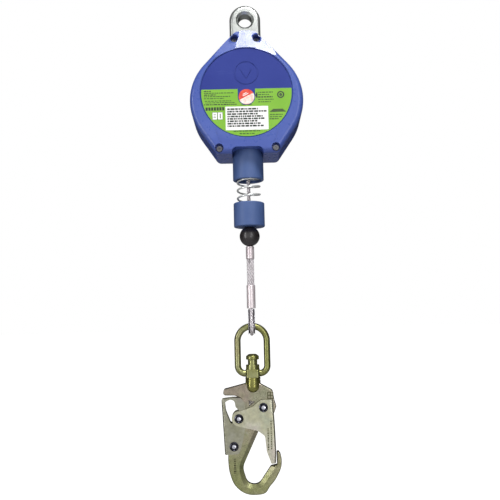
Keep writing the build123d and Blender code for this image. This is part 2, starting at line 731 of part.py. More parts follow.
def stop_ball():
    return Pos(0, 0, BALL_Z) * Sphere(BALL_R) - disc_z(ROPE_R, BALL_Z - 20, BALL_Z + 20)


def ferrule(size):
    radius, top, bottom = size
    body = disc_z(radius, bottom, top)
    body = fillet(body.edges().filter_by(GeomType.CIRCLE), 0.8)
    for rope in (live_leg(), dead_leg(), rope_eye()):
        body -= rope
    return body


def thimble():
    """Grooved eyelet that the rope's loop lies in."""
    ring_r = THIMBLE_INNER_R + THIMBLE_WALL
    rim_r = ring_r + 3.2
    centre = Pos(0, 0, BAIL_PIVOT_Z)
    body = Rot(0, 90, 0) * Cylinder(rim_r, 2 * THIMBLE_HALF_WIDTH)
    body -= Rot(0, 90, 0) * Torus(ring_r + ROPE_R, ROPE_R + 0.02)
    body -= Rot(0, 90, 0) * (Cylinder(rim_r + 5, 2.6) - Cylinder(ring_r + ROPE_R, 3))
    body -= Rot(0, 90, 0) * Cylinder(THIMBLE_INNER_R, 20)
    return centre * body - rope_eye()


# ---- bail and swivel ----

def swivel_bail():
    half = BAIL_HALF_WIDTH
    path = FilletPolyline((half, 0, BAIL_PIVOT_Z), (half, 0, BAIL_BOTTOM_Z), (-half, 0, BAIL_BOTTOM_Z),
                          (-half, 0, BAIL_PIVOT_Z), radius=[half - 0.05, 9.5, 9.5, half - 0.05], close=True)
    body = sweep(Plane(path @ 0, z_dir=path % 0) * Circle(BAIL_WIRE_R), path)
    boss = slab(-BOSS_HALF_WIDTH, BOSS_HALF_WIDTH, -BOSS_HALF_DEPTH, BOSS_HALF_DEPTH,
                BOSS_BOTTOM_Z, BOSS_TOP_Z)
    body += fillet(boss.edges().filter_by(Axis.Z), BOSS_CORNER_R)
    body += disc_z(COLLAR_R, BOSS_TOP_Z, COLLAR_TOP_Z)
    return body - disc_z(SWIVEL_BUSH_R, BOSS_BOTTOM_Z - 1, COLLAR_TOP_Z + 5)


def swivel_bush():
    return tube_z(SWIVEL_BUSH_R, STUD_R + RUNNING, BOSS_BOTTOM_Z, SWIVEL_BUSH_TOP_Z)


def swivel_stud():
    head = revolve_z([(0, STUD_HEAD_Z), (STUD_HEAD_R, STUD_HEAD_Z), (STUD_HEAD_R, STUD_HEAD_Z + 4.2),
                      (STUD_HEAD_R - 3.4, STUD_TOP_Z), (0, STUD_TOP_Z)], [0, 0.8, 2.4, 2.0, 0])
    return head + disc_z(STUD_R, STUD_END_Z, STUD_HEAD_Z)


# ---- snap hook ----

def hook_outline():
    horn = FilletPolyline(
        (-32.2, -553.0), (-31.2, -529.5), (-14.5, -509.0), (-14.5, -481.2), (-22.0, -476.9), (-37.3, -476.4),
        (-36.0, -469.0), (-8.0, -462.2), (9.0, -463.2), (23.8, -471.4), (25.6, -483.0), (27.9, -490.5),
        (25.0, -498.7), (17.5, -500.9), (8.0, -504.0), (4.9, -521.0),
        radius=[9, 8, 2.5, 8, 3.0, 2.6, 4, 3, 4, 6, 4, 1.5, 5, 5])
    corners = [(x, z) for x, z, radius in THROAT]
    throat = FilletPolyline(*corners, radius=[radius for x, z, radius in THROAT[1:-1]])
    nose = FilletPolyline((19.4, -561.6), (26.9, -560.2), (26.9, -545.4), (28.6, -543.6), (31.4, -547.2),
                          (32.4, -552.0), radius=[1.0, 0.6, 1.0, 3.0])
    right = Spline((32.4, -552.0), (31.4, -563.8), (28.0, -571.2), (23.4, -578.6), (16.8, -586.3),
                   BOW_BOTTOM, tangents=[(0.08, -1.0), (-1.0, 0.0)])
    left = Spline(BOW_BOTTOM, (-13.0, -592.2), (-21.4, -586.3), (-27.0, -578.6), (-29.6, -571.2),
                  (-32.2, -553.0), tangents=[(-1.0, 0.0), (-0.06, 1.0)])
    return make_face(horn + throat + nose + right + left)


def throat_bevel(side):
    """Cutter that slopes one face of the forging down towards the inside of the bow."""
    opening = rounded(THROAT + [(14.0, -535.0, 0)])
    face = Pos(0, side * (HOOK_HALF_THICK - BEVEL_DEPTH), 0) * (Plane.XZ * opening)
    return extrude(face, BEVEL_DEPTH + 0.4, dir=(0, side, 0), taper=-BEVEL_ANGLE)


def spring_slot(centre, mouth):
    """Slot in the middle of the forging that holds a torsion spring."""
    x, z = centre
    slot = disc_y(SLOT_R, -SLOT_HALF, SLOT_HALF, x, z)
    return slot + slab(min(x, mouth), max(x, mouth), -SLOT_HALF, SLOT_HALF, z - 5.5, z - 1.5)


def hook_body():
    body = extrude_y(hook_outline(), -HOOK_HALF_THICK, HOOK_HALF_THICK)
    body = fillet(outer_rims(body, HOOK_HALF_THICK), HOOK_EDGE_R)
    for side in (-1, 1):
        body -= throat_bevel(side)
    body += disc_z(BARREL_R, BARREL_BALL_Z, BARREL_TOP_Z)
    body += Pos(0, 0, BARREL_BALL_Z) * Sphere(BARREL_R)
    body -= tube_z(BARREL_R + 1, BARREL_R - BARREL_GROOVE, BARREL_GROOVE_Z - 0.5, BARREL_GROOVE_Z + 0.5)
    body -= disc_z(STUD_R, STUD_END_Z, BARREL_TOP_Z + 1)
    for x, z in (GATE_PIVOT, LEVER_PIVOT):
        body -= disc_y(RIVET_R, -20, 20, x, z)
    body -= spring_slot(GATE_PIVOT, 30)
    body -= spring_slot(LEVER_PIVOT, -40)
    mark = rounded([(-27.2, -549.5, 2), (-20.6, -549.5, 2), (-21.6, -571.0, 2), (-26.8, -571.0, 2)])
    body -= extrude_y(mark, -HOOK_HALF_THICK - 1, -HOOK_HALF_THICK + 0.6)
    window = rounded([(-6.0, -482.6, 0.4), (2.3, -484.4, 0.4), (-5.6, -490.5, 0.4)])
    return body - extrude_y(window, -HOOK_HALF_THICK - 1, -HOOK_HALF_THICK + WINDOW_DEPTH)


def gate_outline():
    return rounded([
        (23.9, -482.2, 0), (8.8, -482.0, 8.0), (-1.0, -490.0, 14.0), (-17.0, -495.4, 1.0),
        (-20.5, -512.6, 1.0), (5.0, -518.9, 10.0), (12.9, -525.0, 5.0), (14.6, -543.0, 12.0),
        (20.0, -557.8, 1.2), (25.5, -557.0, 0), (26.3, -546.0, 6.0), (25.4, -515.0, 20.0)])


def folded_sheet(outline, inner, outer, web, bend):
    """Sheet folded into a channel: two cheeks, joined by a web whose outer edges are bent round."""
    body = extrude_y(outline, -outer, outer)
    fold = [edge for edge in outer_rims(body, outer) if bend(edge.center())]
    body = fillet(fold, BEND_R)
    return body - (slab(-60, 60, -inner, inner, -600, -470) - extrude_y(web, -inner - 1, inner + 1))


def gate():
    web = make_face(Polyline((40.0, -499.6), (40.0, -560.0), (23.8, -560.0), (24.5, -546.0),
                             (23.8, -515.0), (23.0, -499.6), close=True))
    body = folded_sheet(gate_outline(), GATE_INNER_Y, GATE_OUTER_Y, web,
                        lambda place: place.X > 23.5 and place.Z < -483.0)
    for side in (-1, 1):
        y0, y1 = sorted((side * GATE_INNER_Y, side * GATE_OUTER_Y))
        body += disc_y(LATCH_EYE_R, y0, y1, *LATCH_PIN)
    body -= disc_y(RIVET_R + 0.08, -20, 20, *GATE_PIVOT)
    return body - disc_y(LATCH_PIN_R, -20, 20, *LATCH_PIN)


def lever_outline():
    outline = rounded([
        (-39.0, -480.9, 0), (-26.0, -479.3, 20.0), (-15.2, -479.6, 4.0), (-10.6, -486.0, 4.0),
        (-9.8, -505.0, 10.0), (-11.6, -521.5, 20.0), (-15.6, -537.0, 10.0), (-18.6, -545.9, 5.0),
        (-35.8, -546.6, 0)])
    hole = rounded([
        (-28.2, -481.2, 3.6), (-35.2, -484.0, 4.4), (-34.0, -495.0, 14.0), (-28.2, -509.6, 3.0),
        (-14.6, -510.0, 3.0), (-14.6, -497.4, 2.0), (-22.0, -490.2, 3.0), (-23.2, -482.8, 4.0)])
    return outline - hole


def lock_lever():
    web = make_face(Polyline((-60.0, -482.2), (-37.3, -482.2), (-34.4, -546.0), (-60.0, -546.0), close=True))
    body = folded_sheet(lever_outline(), LEVER_INNER_Y, LEVER_OUTER_Y, web, lambda place: place.X < -36.5)
    return body - disc_y(RIVET_R + 0.08, -20, 20, *LEVER_PIVOT)


def rivet(centre, shank_r, seat_y):
    """Rivet with a dished head on each side, standing on seat_y."""
    x, z = centre
    body = disc_y(shank_r, -seat_y, seat_y, x, z)
    profile = Polyline((0, 0), (RIVET_HEAD_R, 0), (RIVET_HEAD_R, 1.5), (RIVET_HEAD_R - 1.2, 2.1),
                       (3.1, 1.3), (2.4, 2.5), (0, 2.9), close=True)
    head = revolve(Plane.XZ * make_face(profile), Axis.Z)
    body += Pos(x, -seat_y, z) * Rot(90, 0, 0) * head
    return body + Pos(x, seat_y, z) * Rot(-90, 0, 0) * head


def torsion_spring(centre, coil_r):
    x, z = centre
    spring = None
    for turn in (-1, 0, 1):
        coil = Pos(x, turn * 1.15, z) * Rot(90, 0, 0) * Torus(coil_r, 0.6)
        spring = coil if spring is None else spring + coil
    spring += slab(x - 0.5, x + 0.5, -1.15, 1.15, z + coil_r - 0.4, z + coil_r + 0.4)
    return spring


def gate_spring():
    return torsion_spring(GATE_PIVOT, 4.6)


def lever_spring():
    return torsion_spring(LEVER_PIVOT, 4.6)


def gate_rivet():
    return rivet(GATE_PIVOT, RIVET_R, GATE_OUTER_Y + 0.15)


def lever_rivet():
    return rivet(LEVER_PIVOT, RIVET_R, LEVER_OUTER_Y + 0.15)


def latch_pin():
    return rivet(LATCH_PIN, LATCH_PIN_R, GATE_OUTER_Y)


NODES = {
    "front_shell": front_shell, "rear_shell": rear_shell, "shell_screws": shell_screws,
    "label_plate": label_plate, "data_sticker": data_sticker, "inspection_sticker": inspection_sticker,
    "anchor_eye": anchor_eye, "frame_plate_front": frame_plate_front, "frame_plate_rear": frame_plate_rear,
    "frame_spacers": frame_spacers, "frame_bolts": frame_bolts, "suspension_bolt": suspension_bolt,
    "suspension_nut": suspension_nut, "distance_bushes": distance_bushes, "axle": axle,
    "axle_rings": axle_rings, "drum_bushes": drum_bushes, "drum_hub": drum_hub,
    "drum_flange_front": drum_flange_front, "drum_flange_rear": drum_flange_rear,
    "drum_rivets": drum_rivets, "wound_rope": wound_rope, "pawl_pins": pawl_pins,
    "pawl_upper": lambda: pawl_at(0), "pawl_lower": lambda: pawl_at(1), "pawl_springs": pawl_springs,
    "brake_ring": brake_ring, "friction_linings": friction_linings, "clamp_ring": clamp_ring,
    "brake_screws": brake_screws, "spring_case": spring_case, "power_spring": power_spring,
    "rope_guide": rope_guide, "spout": spout, "buffer_spring": buffer_spring,
    "buffer_sleeve": buffer_sleeve, "rope_run": rope_run, "rope_end": rope_end, "stop_ball": stop_ball,
    "upper_ferrule": lambda: ferrule(UPPER_FERRULE), "lower_ferrule": lambda: ferrule(LOWER_FERRULE),
    "thimble": thimble, "swivel_bail": swivel_bail, "swivel_bush": swivel_bush,
    "swivel_stud": swivel_stud, "hook_body": hook_body, "gate": gate, "gate_rivet": gate_rivet,
    "gate_spring": gate_spring, "latch_pin": latch_pin, "lock_lever": lock_lever,
    "lever_rivet": lever_rivet, "lever_spring": lever_spring,
}

os.makedirs("parts", exist_ok=True)
for name, make in NODES.items():
    shape = make()
    export_step(shape, "parts/" + name + ".step")
    print(name, round(shape.volume, 1), len(shape.solids()))
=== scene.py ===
import json
import math
import random

import bmesh
import bpy
from mathutils import Matrix, Vector


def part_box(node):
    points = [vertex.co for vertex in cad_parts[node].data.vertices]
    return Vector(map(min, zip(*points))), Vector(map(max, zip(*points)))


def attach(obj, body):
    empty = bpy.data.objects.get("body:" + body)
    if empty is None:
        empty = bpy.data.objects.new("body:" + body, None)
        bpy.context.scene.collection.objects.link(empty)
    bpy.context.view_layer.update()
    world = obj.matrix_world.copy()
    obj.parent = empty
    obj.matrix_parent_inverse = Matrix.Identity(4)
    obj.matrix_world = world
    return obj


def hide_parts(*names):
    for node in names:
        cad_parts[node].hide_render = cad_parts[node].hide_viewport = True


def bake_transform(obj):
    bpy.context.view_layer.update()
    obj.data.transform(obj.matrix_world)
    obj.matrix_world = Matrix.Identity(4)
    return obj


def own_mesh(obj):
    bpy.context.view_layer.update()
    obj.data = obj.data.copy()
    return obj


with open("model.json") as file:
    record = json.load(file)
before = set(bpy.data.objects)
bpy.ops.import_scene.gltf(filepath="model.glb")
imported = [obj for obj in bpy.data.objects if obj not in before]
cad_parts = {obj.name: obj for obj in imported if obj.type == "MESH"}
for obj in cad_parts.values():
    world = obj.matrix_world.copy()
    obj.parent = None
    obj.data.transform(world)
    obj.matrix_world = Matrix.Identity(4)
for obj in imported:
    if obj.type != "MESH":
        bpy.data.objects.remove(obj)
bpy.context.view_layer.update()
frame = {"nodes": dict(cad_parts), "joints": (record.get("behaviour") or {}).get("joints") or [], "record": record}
nodes = frame["nodes"]
record = frame["record"]

MM = 0.001
TAU = 2 * math.pi


def mm(x, y, z):
    """A point given in millimetres, as metres."""
    return Vector((x, y, z)) * MM


def top_of(name):
    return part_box(name)[1].z


def bottom_of(name):
    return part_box(name)[0].z


def joint_range(name):
    joint = next(j for j in frame["joints"] if j["name"] == name)
    return joint["range_m"]


# ---- camera, lights and floor ----

CAMERA_PLACE = (0.0, -0.800, -0.385)
CAMERA_PITCH = 96.2
CAMERA_ROLL = -1.31
CAMERA_LENS = 46.08
FLOOR_Z = -1.25
FLOOR_RADIUS = 30.0
FLOOR_FRONT_Y = -1.5
# Grey level of the room from front to back, and what is added from below to above
ROOM_DEPTH = ((0.0, 0.80), (0.04, 0.70), (0.11, 0.40), (0.25, 0.20), (0.38, 0.05), (1.0, 0.02))
ROOM_HEIGHT = ((0.0, 0.04), (0.35, 0.0), (0.62, 0.0), (0.74, 0.08), (0.86, 0.14), (1.0, 0.04))


def add_camera():
    data = bpy.data.cameras.new("camera")
    data.lens = CAMERA_LENS
    data.sensor_width = 36.0
    data.clip_start = 0.01
    data.clip_end = 100.0
    camera = bpy.data.objects.new("camera", data)
    bpy.context.scene.collection.objects.link(camera)
    pitch = Matrix.Rotation(math.radians(CAMERA_PITCH), 4, "X")
    roll = Matrix.Rotation(math.radians(CAMERA_ROLL), 4, "Z")
    camera.matrix_world = Matrix.Translation(CAMERA_PLACE) @ pitch @ roll
    bpy.context.scene.camera = camera


# Name, place, target, width and height, watts
SOFTBOXES = (
    ("key_above", (0.21, -0.85, 1.10), (0, 0, -0.05), (0.56, 0.40), 20),
    ("strip_right", (0.62, -1.50, -0.15), (0, 0, -0.25), (0.22, 1.5), 4.5),
    ("strip_left", (-1.20, -0.95, -0.10), (0, 0, -0.25), (0.25, 1.5), 8))


def add_softbox(name, place, target, size, power):
    data = bpy.data.lights.new(name, "AREA")
    data.shape = "RECTANGLE"
    data.size, data.size_y = size
    data.energy = power
    light = bpy.data.objects.new(name, data)
    light.location = place
    aim = Vector(target) - Vector(place)
    light.rotation_mode = "QUATERNION"
    light.rotation_quaternion = aim.to_track_quat("-Z", "Y")
    bpy.context.scene.collection.objects.link(light)


def add_lights():
    for softbox in SOFTBOXES:
        add_softbox(*softbox)


def add_world():
    """White behind the object; for light and reflections a room, mid grey in front and dark behind."""
    world = bpy.data.worlds.new("studio")
    world.use_nodes = True
    tree = world.node_tree
    back = tree.nodes["Background"]
    place = tree.nodes.new("ShaderNodeTexCoord")
    split = tree.nodes.new("ShaderNodeSeparateXYZ")
    tree.links.new(place.outputs["Generated"], split.inputs[0])
    room = tree.nodes.new("ShaderNodeMix")
    room.data_type = "RGBA"
    room.blend_type = "ADD"
    room.inputs["Factor"].default_value = 1.0
    for axis, socket, stops in (("Y", "A", ROOM_DEPTH), ("Z", "B", ROOM_HEIGHT)):
        spread = tree.nodes.new("ShaderNodeMapRange")
        spread.inputs["From Min"].default_value = -1.0
        ramp = tree.nodes.new("ShaderNodeValToRGB")
        bands = ramp.color_ramp.elements
        while len(bands) < len(stops):
            bands.new(0.5)
        for band, (position, level) in zip(bands, stops):
            band.position = position
            band.color = (level, level, level, 1)
        tree.links.new(split.outputs[axis], spread.inputs["Value"])
        tree.links.new(spread.outputs["Result"], ramp.inputs["Fac"])
        tree.links.new(ramp.outputs["Color"], room.inputs[socket])
    seen = tree.nodes.new("ShaderNodeLightPath")
    pick = tree.nodes.new("ShaderNodeMix")
    pick.data_type = "RGBA"
    tree.links.new(seen.outputs["Is Camera Ray"], pick.inputs["Factor"])
    tree.links.new(room.outputs["Result"], pick.inputs["A"])
    pick.inputs["B"].default_value = (1, 1, 1, 1)
    tree.links.new(pick.outputs["Result"], back.inputs["Color"])
    bpy.context.scene.world = world


def add_floor():
    """Pale floor well below the hanging object, as bright as the background."""
    mesh = bpy.data.meshes.new("floor")
    shape = bmesh.new()
    bmesh.ops.create_circle(shape, cap_ends=True, segments=64, radius=FLOOR_RADIUS)
    shape.to_mesh(mesh)
    shape.free()
    floor = bpy.data.objects.new("floor", mesh)
    floor.location = (0, FLOOR_FRONT_Y + FLOOR_RADIUS, FLOOR_Z)
    bpy.context.scene.collection.objects.link(floor)
    look = Look("floor_paint", (0.70, 0.70, 0.70), 0.9)
    look.bump((look.noise(40, 2), 1.0, 0.05))
    seen = look.tree.nodes.new("ShaderNodeLightPath")
    look.link(seen.outputs["Is Camera Ray"], look.shader.inputs["Emission Strength"])
    look.shader.inputs["Emission Color"].default_value = (1, 1, 1, 1)
    mesh.materials.append(look.material)


# ---- materials ----

class Look:
    """One procedural material, with short helpers for its nodes. Places are in metres on the object."""

    def __init__(self, name, color, roughness, metallic=0.0, **sockets):
        self.material = bpy.data.materials.new(name)
        self.material.use_nodes = True
        self.tree = self.material.node_tree
        self.shader = self.tree.nodes["Principled BSDF"]
        self.shader.inputs["Base Color"].default_value = (*color, 1)
        self.shader.inputs["Roughness"].default_value = roughness
        self.shader.inputs["Metallic"].default_value = metallic
        for socket, value in sockets.items():
            self.shader.inputs[socket.replace("_", " ")].default_value = value
        self.place = self.tree.nodes.new("ShaderNodeTexCoord").outputs["Object"]

    def link(self, output, target):
        self.tree.links.new(output, target)

    def stretched(self, x, y, z):
        """The place, scaled along each axis."""
        scale = self.tree.nodes.new("ShaderNodeVectorMath")
        scale.operation = "MULTIPLY"
        self.link(self.place, scale.inputs[0])
        scale.inputs[1].default_value = (x, y, z)
        return scale.outputs["Vector"]

    def noise(self, scale, detail=3.0, roughness=0.5, place=None):
        texture = self.tree.nodes.new("ShaderNodeTexNoise")
        texture.inputs["Scale"].default_value = scale
        texture.inputs["Detail"].default_value = detail
        texture.inputs["Roughness"].default_value = roughness
        self.link(place or self.place, texture.inputs["Vector"])
        return texture.outputs["Fac"]

    def cells(self, scale, place=None):
        texture = self.tree.nodes.new("ShaderNodeTexVoronoi")
        texture.inputs["Scale"].default_value = scale
        self.link(place or self.place, texture.inputs["Vector"])
        return texture.outputs["Distance"]

    def axis(self, name, place=None):
        split = self.tree.nodes.new("ShaderNodeSeparateXYZ")
        self.link(place or self.place, split.inputs[0])
        return split.outputs[name]

    def math(self, operation, a, b=0.0, c=0.5):
        step = self.tree.nodes.new("ShaderNodeMath")
        step.operation = operation
        for socket, value in zip(step.inputs, (a, b, c)):
            if isinstance(value, (int, float)):
                socket.default_value = value
            else:
                self.link(value, socket)
        return step.outputs[0]

    def ramp(self, factor, *stops):
        """Colour or grey along a factor, from (position, colour) stops."""
        texture = self.tree.nodes.new("ShaderNodeValToRGB")
        elements = texture.color_ramp.elements
        while len(elements) < len(stops):
            elements.new(0.5)
        for element, (position, color) in zip(elements, stops):
            color = (color, color, color) if isinstance(color, (int, float)) else color
            element.position = position
            element.color = (*color, 1)
        self.link(factor, texture.inputs["Fac"])
        return texture.outputs["Color"]

    def between(self, factor, a, b, blend="MIX"):
        """Mixes two colours, each a triple or a socket."""
        mix = self.tree.nodes.new("ShaderNodeMix")
        mix.data_type = "RGBA"
        mix.blend_type = blend
        if isinstance(factor, (int, float)):
            mix.inputs["Factor"].default_value = factor
        else:
            self.link(factor, mix.inputs["Factor"])
        for name, value in (("A", a), ("B", b)):
            if isinstance(value, tuple):
                mix.inputs[name].default_value = (*value, 1)
            else:
                self.link(value, mix.inputs[name])
        return mix.outputs["Result"]

    def near(self, x, z, radius, soft):
        """1 inside a circle round (x, z) seen along Y, 0 outside, with a soft edge."""
        offset = self.tree.nodes.new("ShaderNodeVectorMath")
        offset.operation = "SUBTRACT"
        self.link(self.stretched(1, 0, 1), offset.inputs[0])
        offset.inputs[1].default_value = (x, 0, z)
        length = self.tree.nodes.new("ShaderNodeVectorMath")
        length.operation = "LENGTH"
        self.link(offset.outputs["Vector"], length.inputs[0])
        edge = self.tree.nodes.new("ShaderNodeMapRange")
        edge.interpolation_type = "SMOOTHSTEP"
        edge.inputs["From Min"].default_value = radius + soft
        edge.inputs["From Max"].default_value = radius - soft
        self.link(length.outputs["Value"], edge.inputs["Value"])
        return edge.outputs["Result"]

    def color(self, socket):
        self.link(socket, self.shader.inputs["Base Color"])

    def vary(self, socket, factor, low, high):
        """Drives one of the shader's sockets from low to high as the factor goes from 0 to 1."""
        span = self.tree.nodes.new("ShaderNodeMapRange")
        span.inputs["To Min"].default_value = low
        span.inputs["To Max"].default_value = high
        self.link(factor, span.inputs["Value"])
        self.link(span.outputs["Result"], self.shader.inputs[socket])

    def roughness(self, factor, low, high):
        self.vary("Roughness", factor, low, high)

    def bump(self, *layers):
        """Each layer is (height socket, depth in millimetres, strength)."""
        last = None
        for height, depth, strength in layers:
            bump = self.tree.nodes.new("ShaderNodeBump")
            bump.inputs["Distance"].default_value = depth * MM
            bump.inputs["Strength"].default_value = strength
            self.link(height, bump.inputs["Height"])
            if last:
                self.link(last, bump.inputs["Normal"])
            last = bump.outputs["Normal"]
        self.link(last, self.shader.inputs["Normal"])


DISC_CENTRE_Z = -0.1036
DISC_RADIUS = 0.0575


def shell_blue():
    """Moulded nylon: glossy blue rim, deeper and duller blue inside the round recess."""
    look = Look("shell_blue", (0.05, 0.08, 0.32), 0.32, Coat_Roughness=0.14)
    inside = look.near(0, DISC_CENTRE_Z, DISC_RADIUS, 0.0003)
    flow = look.noise(22, 3)
    rim = look.ramp(flow, (0.3, (0.048, 0.086, 0.350)), (0.7, (0.060, 0.104, 0.385)))
    disc = look.ramp(flow, (0.3, (0.027, 0.042, 0.235)), (0.7, (0.033, 0.051, 0.260)))
    base = look.between(inside, rim, disc)
    specks = look.ramp(look.noise(1500, 2), (0.62, 0.0), (0.72, 1.0))
    scuffs = look.ramp(look.noise(9, 5, 0.7, look.stretched(1, 1, 6)), (0.58, 0.0), (0.70, 1.0))
    base = look.between(look.math("MULTIPLY", specks, 0.10), base, (0.12, 0.17, 0.5))
    base = look.between(look.math("MULTIPLY", scuffs, 0.07), base, (0.20, 0.26, 0.55))
    look.color(base)
    look.roughness(look.math("ADD", look.math("MULTIPLY", inside, 0.6), look.noise(160, 4)), 0.18, 0.42)
    look.vary("Specular IOR Level", inside, 0.5, 0.15)
    look.vary("Coat Weight", inside, 0.2, 0.0)
    look.bump((look.noise(2600, 2), 0.02, 0.4), (look.noise(60, 2), 0.06, 0.3))
    return look.material


def nozzle_blue():
    """Greyer, softer polyurethane of the spout and the buffer sleeve."""
    look = Look("nozzle_blue", (0.08, 0.13, 0.30), 0.45, Specular_IOR_Level=0.35)
    flow = look.noise(30, 4)
    base = look.ramp(flow, (0.3, (0.052, 0.096, 0.250)), (0.7, (0.074, 0.124, 0.295)))
    rub = look.ramp(look.noise(14, 5, 0.65, look.stretched(3, 3, 0.6)), (0.52, 0.0), (0.70, 1.0))
    look.color(look.between(look.math("MULTIPLY", rub, 0.18), base, (0.15, 0.21, 0.37)))
    look.roughness(look.noise(220, 3), 0.36, 0.56)
    dents = look.noise(25, 2, 0.5, look.stretched(1, 1, 0.25))
    look.bump((look.noise(1800, 3), 0.05, 0.5), (dents, 0.15, 0.3))
    return look.material


def label_green():
    """Printed vinyl with a clear film."""
    look = Look("label_green", (0.21, 0.48, 0.04), 0.40, Specular_IOR_Level=0.3)
    ink = look.ramp(look.noise(35, 2), (0.3, (0.180, 0.415, 0.034)), (0.7, (0.212, 0.460, 0.045)))
    dots = look.ramp(look.cells(2600), (0.25, 0.0), (0.45, 1.0))
    look.color(look.between(look.math("MULTIPLY", dots, 0.05), ink, (0.42, 0.68, 0.16)))
    look.roughness(look.noise(120, 3), 0.26, 0.42)
    look.bump((look.noise(900, 2), 0.02, 0.3), (look.noise(45, 2), 0.06, 0.3))
    return look.material


def sticker_white():
    """Thermal-printed polyester film."""
    look = Look("sticker_white", (0.86, 0.86, 0.85), 0.38, Coat_Weight=0.2, Coat_Roughness=0.2)
    look.color(look.ramp(look.noise(60, 3), (0.3, (0.83, 0.83, 0.82)), (0.7, (0.90, 0.90, 0.89))))
    look.roughness(look.noise(300, 2), 0.30, 0.46)
    look.bump((look.noise(1400, 2), 0.015, 0.3), (look.noise(50, 1), 0.05, 0.25))
    return look.material


ROUND_STICKER = (0.0, -0.1095)
ROUND_STICKER_TILT = 27


def sticker_red():
    """Round disc, red above a slanting line and pinkish white below it."""
    look = Look("sticker_red", (0.6, 0.05, 0.03), 0.35, Coat_Weight=0.3, Coat_Roughness=0.15)
    tilt = math.radians(ROUND_STICKER_TILT)
    along = look.math("MULTIPLY", look.axis("X"), -math.sin(tilt))
    above = look.math("SUBTRACT", look.axis("Z"), ROUND_STICKER[1] + 0.0006)
    across = look.math("MULTIPLY", above, math.cos(tilt))
    height = look.math("ADD", along, across)
    half = look.ramp(look.math("MULTIPLY_ADD", height, 4000.0), (0.0, 0.0), (0.4, 1.0))
    red = look.ramp(look.noise(240, 3), (0.35, (0.62, 0.035, 0.022)), (0.7, (0.78, 0.090, 0.040)))
    pale = look.ramp(look.noise(420, 4), (0.35, (0.80, 0.50, 0.42)), (0.6, (0.90, 0.80, 0.74)))
    look.color(look.between(half, pale, red))
    look.bump((look.noise(800, 2), 0.02, 0.3))
    return look.material


def print_black():
    look = Look("print_black", (0.015, 0.02, 0.015), 0.5)
    look.color(look.ramp(look.noise(2500, 2), (0.35, (0.010, 0.014, 0.010)), (0.75, (0.035, 0.045, 0.030))))
    look.bump((look.noise(3000, 2), 0.01, 0.3))
    return look.material


def print_green():
    """Thin dark green-grey ink of the small print."""
    look = Look("print_green", (0.05, 0.12, 0.02), 0.5)
    look.color(look.ramp(look.noise(2500, 2), (0.35, (0.022, 0.070, 0.012)), (0.75, (0.050, 0.125, 0.022))))
    look.bump((look.noise(3000, 2), 0.01, 0.3))
    return look.material


def print_white():
    look = Look("print_white", (0.9, 0.9, 0.88), 0.45)
    look.color(look.ramp(look.noise(1500, 2), (0.35, (0.84, 0.86, 0.82)), (0.75, (0.93, 0.93, 0.91))))
    look.bump((look.noise(3000, 2), 0.01, 0.3))
    return look.material


def metal(name, light, dark, low, high, grain=900, wear=30, brushed=None, depth=0.02, share=1.0):
    """Bare or plated metal: two tones, uneven gloss and fine grain, brushed along an axis if asked."""
    look = Look(name, light, (low + high) / 2, share)
    stretch = look.stretched(*brushed) if brushed else None
    tone = look.noise(wear, 5, 0.6)
    look.color(look.ramp(tone, (0.32, dark), (0.66, light)))
    look.roughness(look.noise(grain / 5, 4, 0.6, stretch), low, high)
    look.bump((look.noise(grain, 3, 0.6, stretch), depth, 0.5), (look.noise(wear * 2, 2), depth * 3, 0.3))
    return look.material


def eye_steel():
    """Cast and zinc-plated eye, with the faint pitting of the casting."""
    look = Look("eye_steel", (0.66, 0.68, 0.66), 0.3, 1.0)
    tone = look.noise(45, 5, 0.6)
    base = look.ramp(tone, (0.30, (0.44, 0.46, 0.45)), (0.55, (0.58, 0.60, 0.58)), (0.75, (0.66, 0.68, 0.65)))
    pits = look.ramp(look.cells(900), (0.08, 0.0), (0.22, 1.0))
    # The casting's pits painted darker at their centres.
    darker_in_pits = look.math("MULTIPLY", look.math("SUBTRACT", 1.0, pits), 0.4)
    look.color(look.between(darker_in_pits, base, (0.30, 0.31, 0.31)))
    look.roughness(look.noise(260, 4, 0.6), 0.22, 0.42)
    look.bump((pits, 0.05, 0.35), (look.noise(500, 4, 0.6), 0.08, 0.5), (look.noise(60, 2), 0.25, 0.4))
    return look.material


def zinc_yellow(name, gold, pale, rose, green):
    """Yellow-chromated zinc on forged or pressed steel, with its drifting pink and green sheen."""
    look = Look(name, pale, 0.3, 1.0)
    drift = look.noise(24, 4, 0.6)
    base = look.ramp(drift, (0.26, green), (0.42, gold), (0.54, pale), (0.66, rose), (0.80, gold))
    fine = look.ramp(look.noise(210, 5, 0.65), (0.35, 0.80), (0.65, 1.08))
    base = look.between(1.0, base, fine, "MULTIPLY")
    rubbed = look.ramp(look.noise(60, 5, 0.7), (0.60, 0.0), (0.70, 1.0))
    look.color(look.between(look.math("MULTIPLY", rubbed, 0.25), base, (0.72, 0.72, 0.68)))
    look.roughness(look.noise(150, 5, 0.65), 0.22, 0.44)
    look.bump((look.noise(700, 4, 0.6), 0.05, 0.5), (look.noise(90, 3), 0.20, 0.45))
    return look.material


BARREL_TOP_Z = -0.4635
BARREL_FRONT_Y = 0.0057


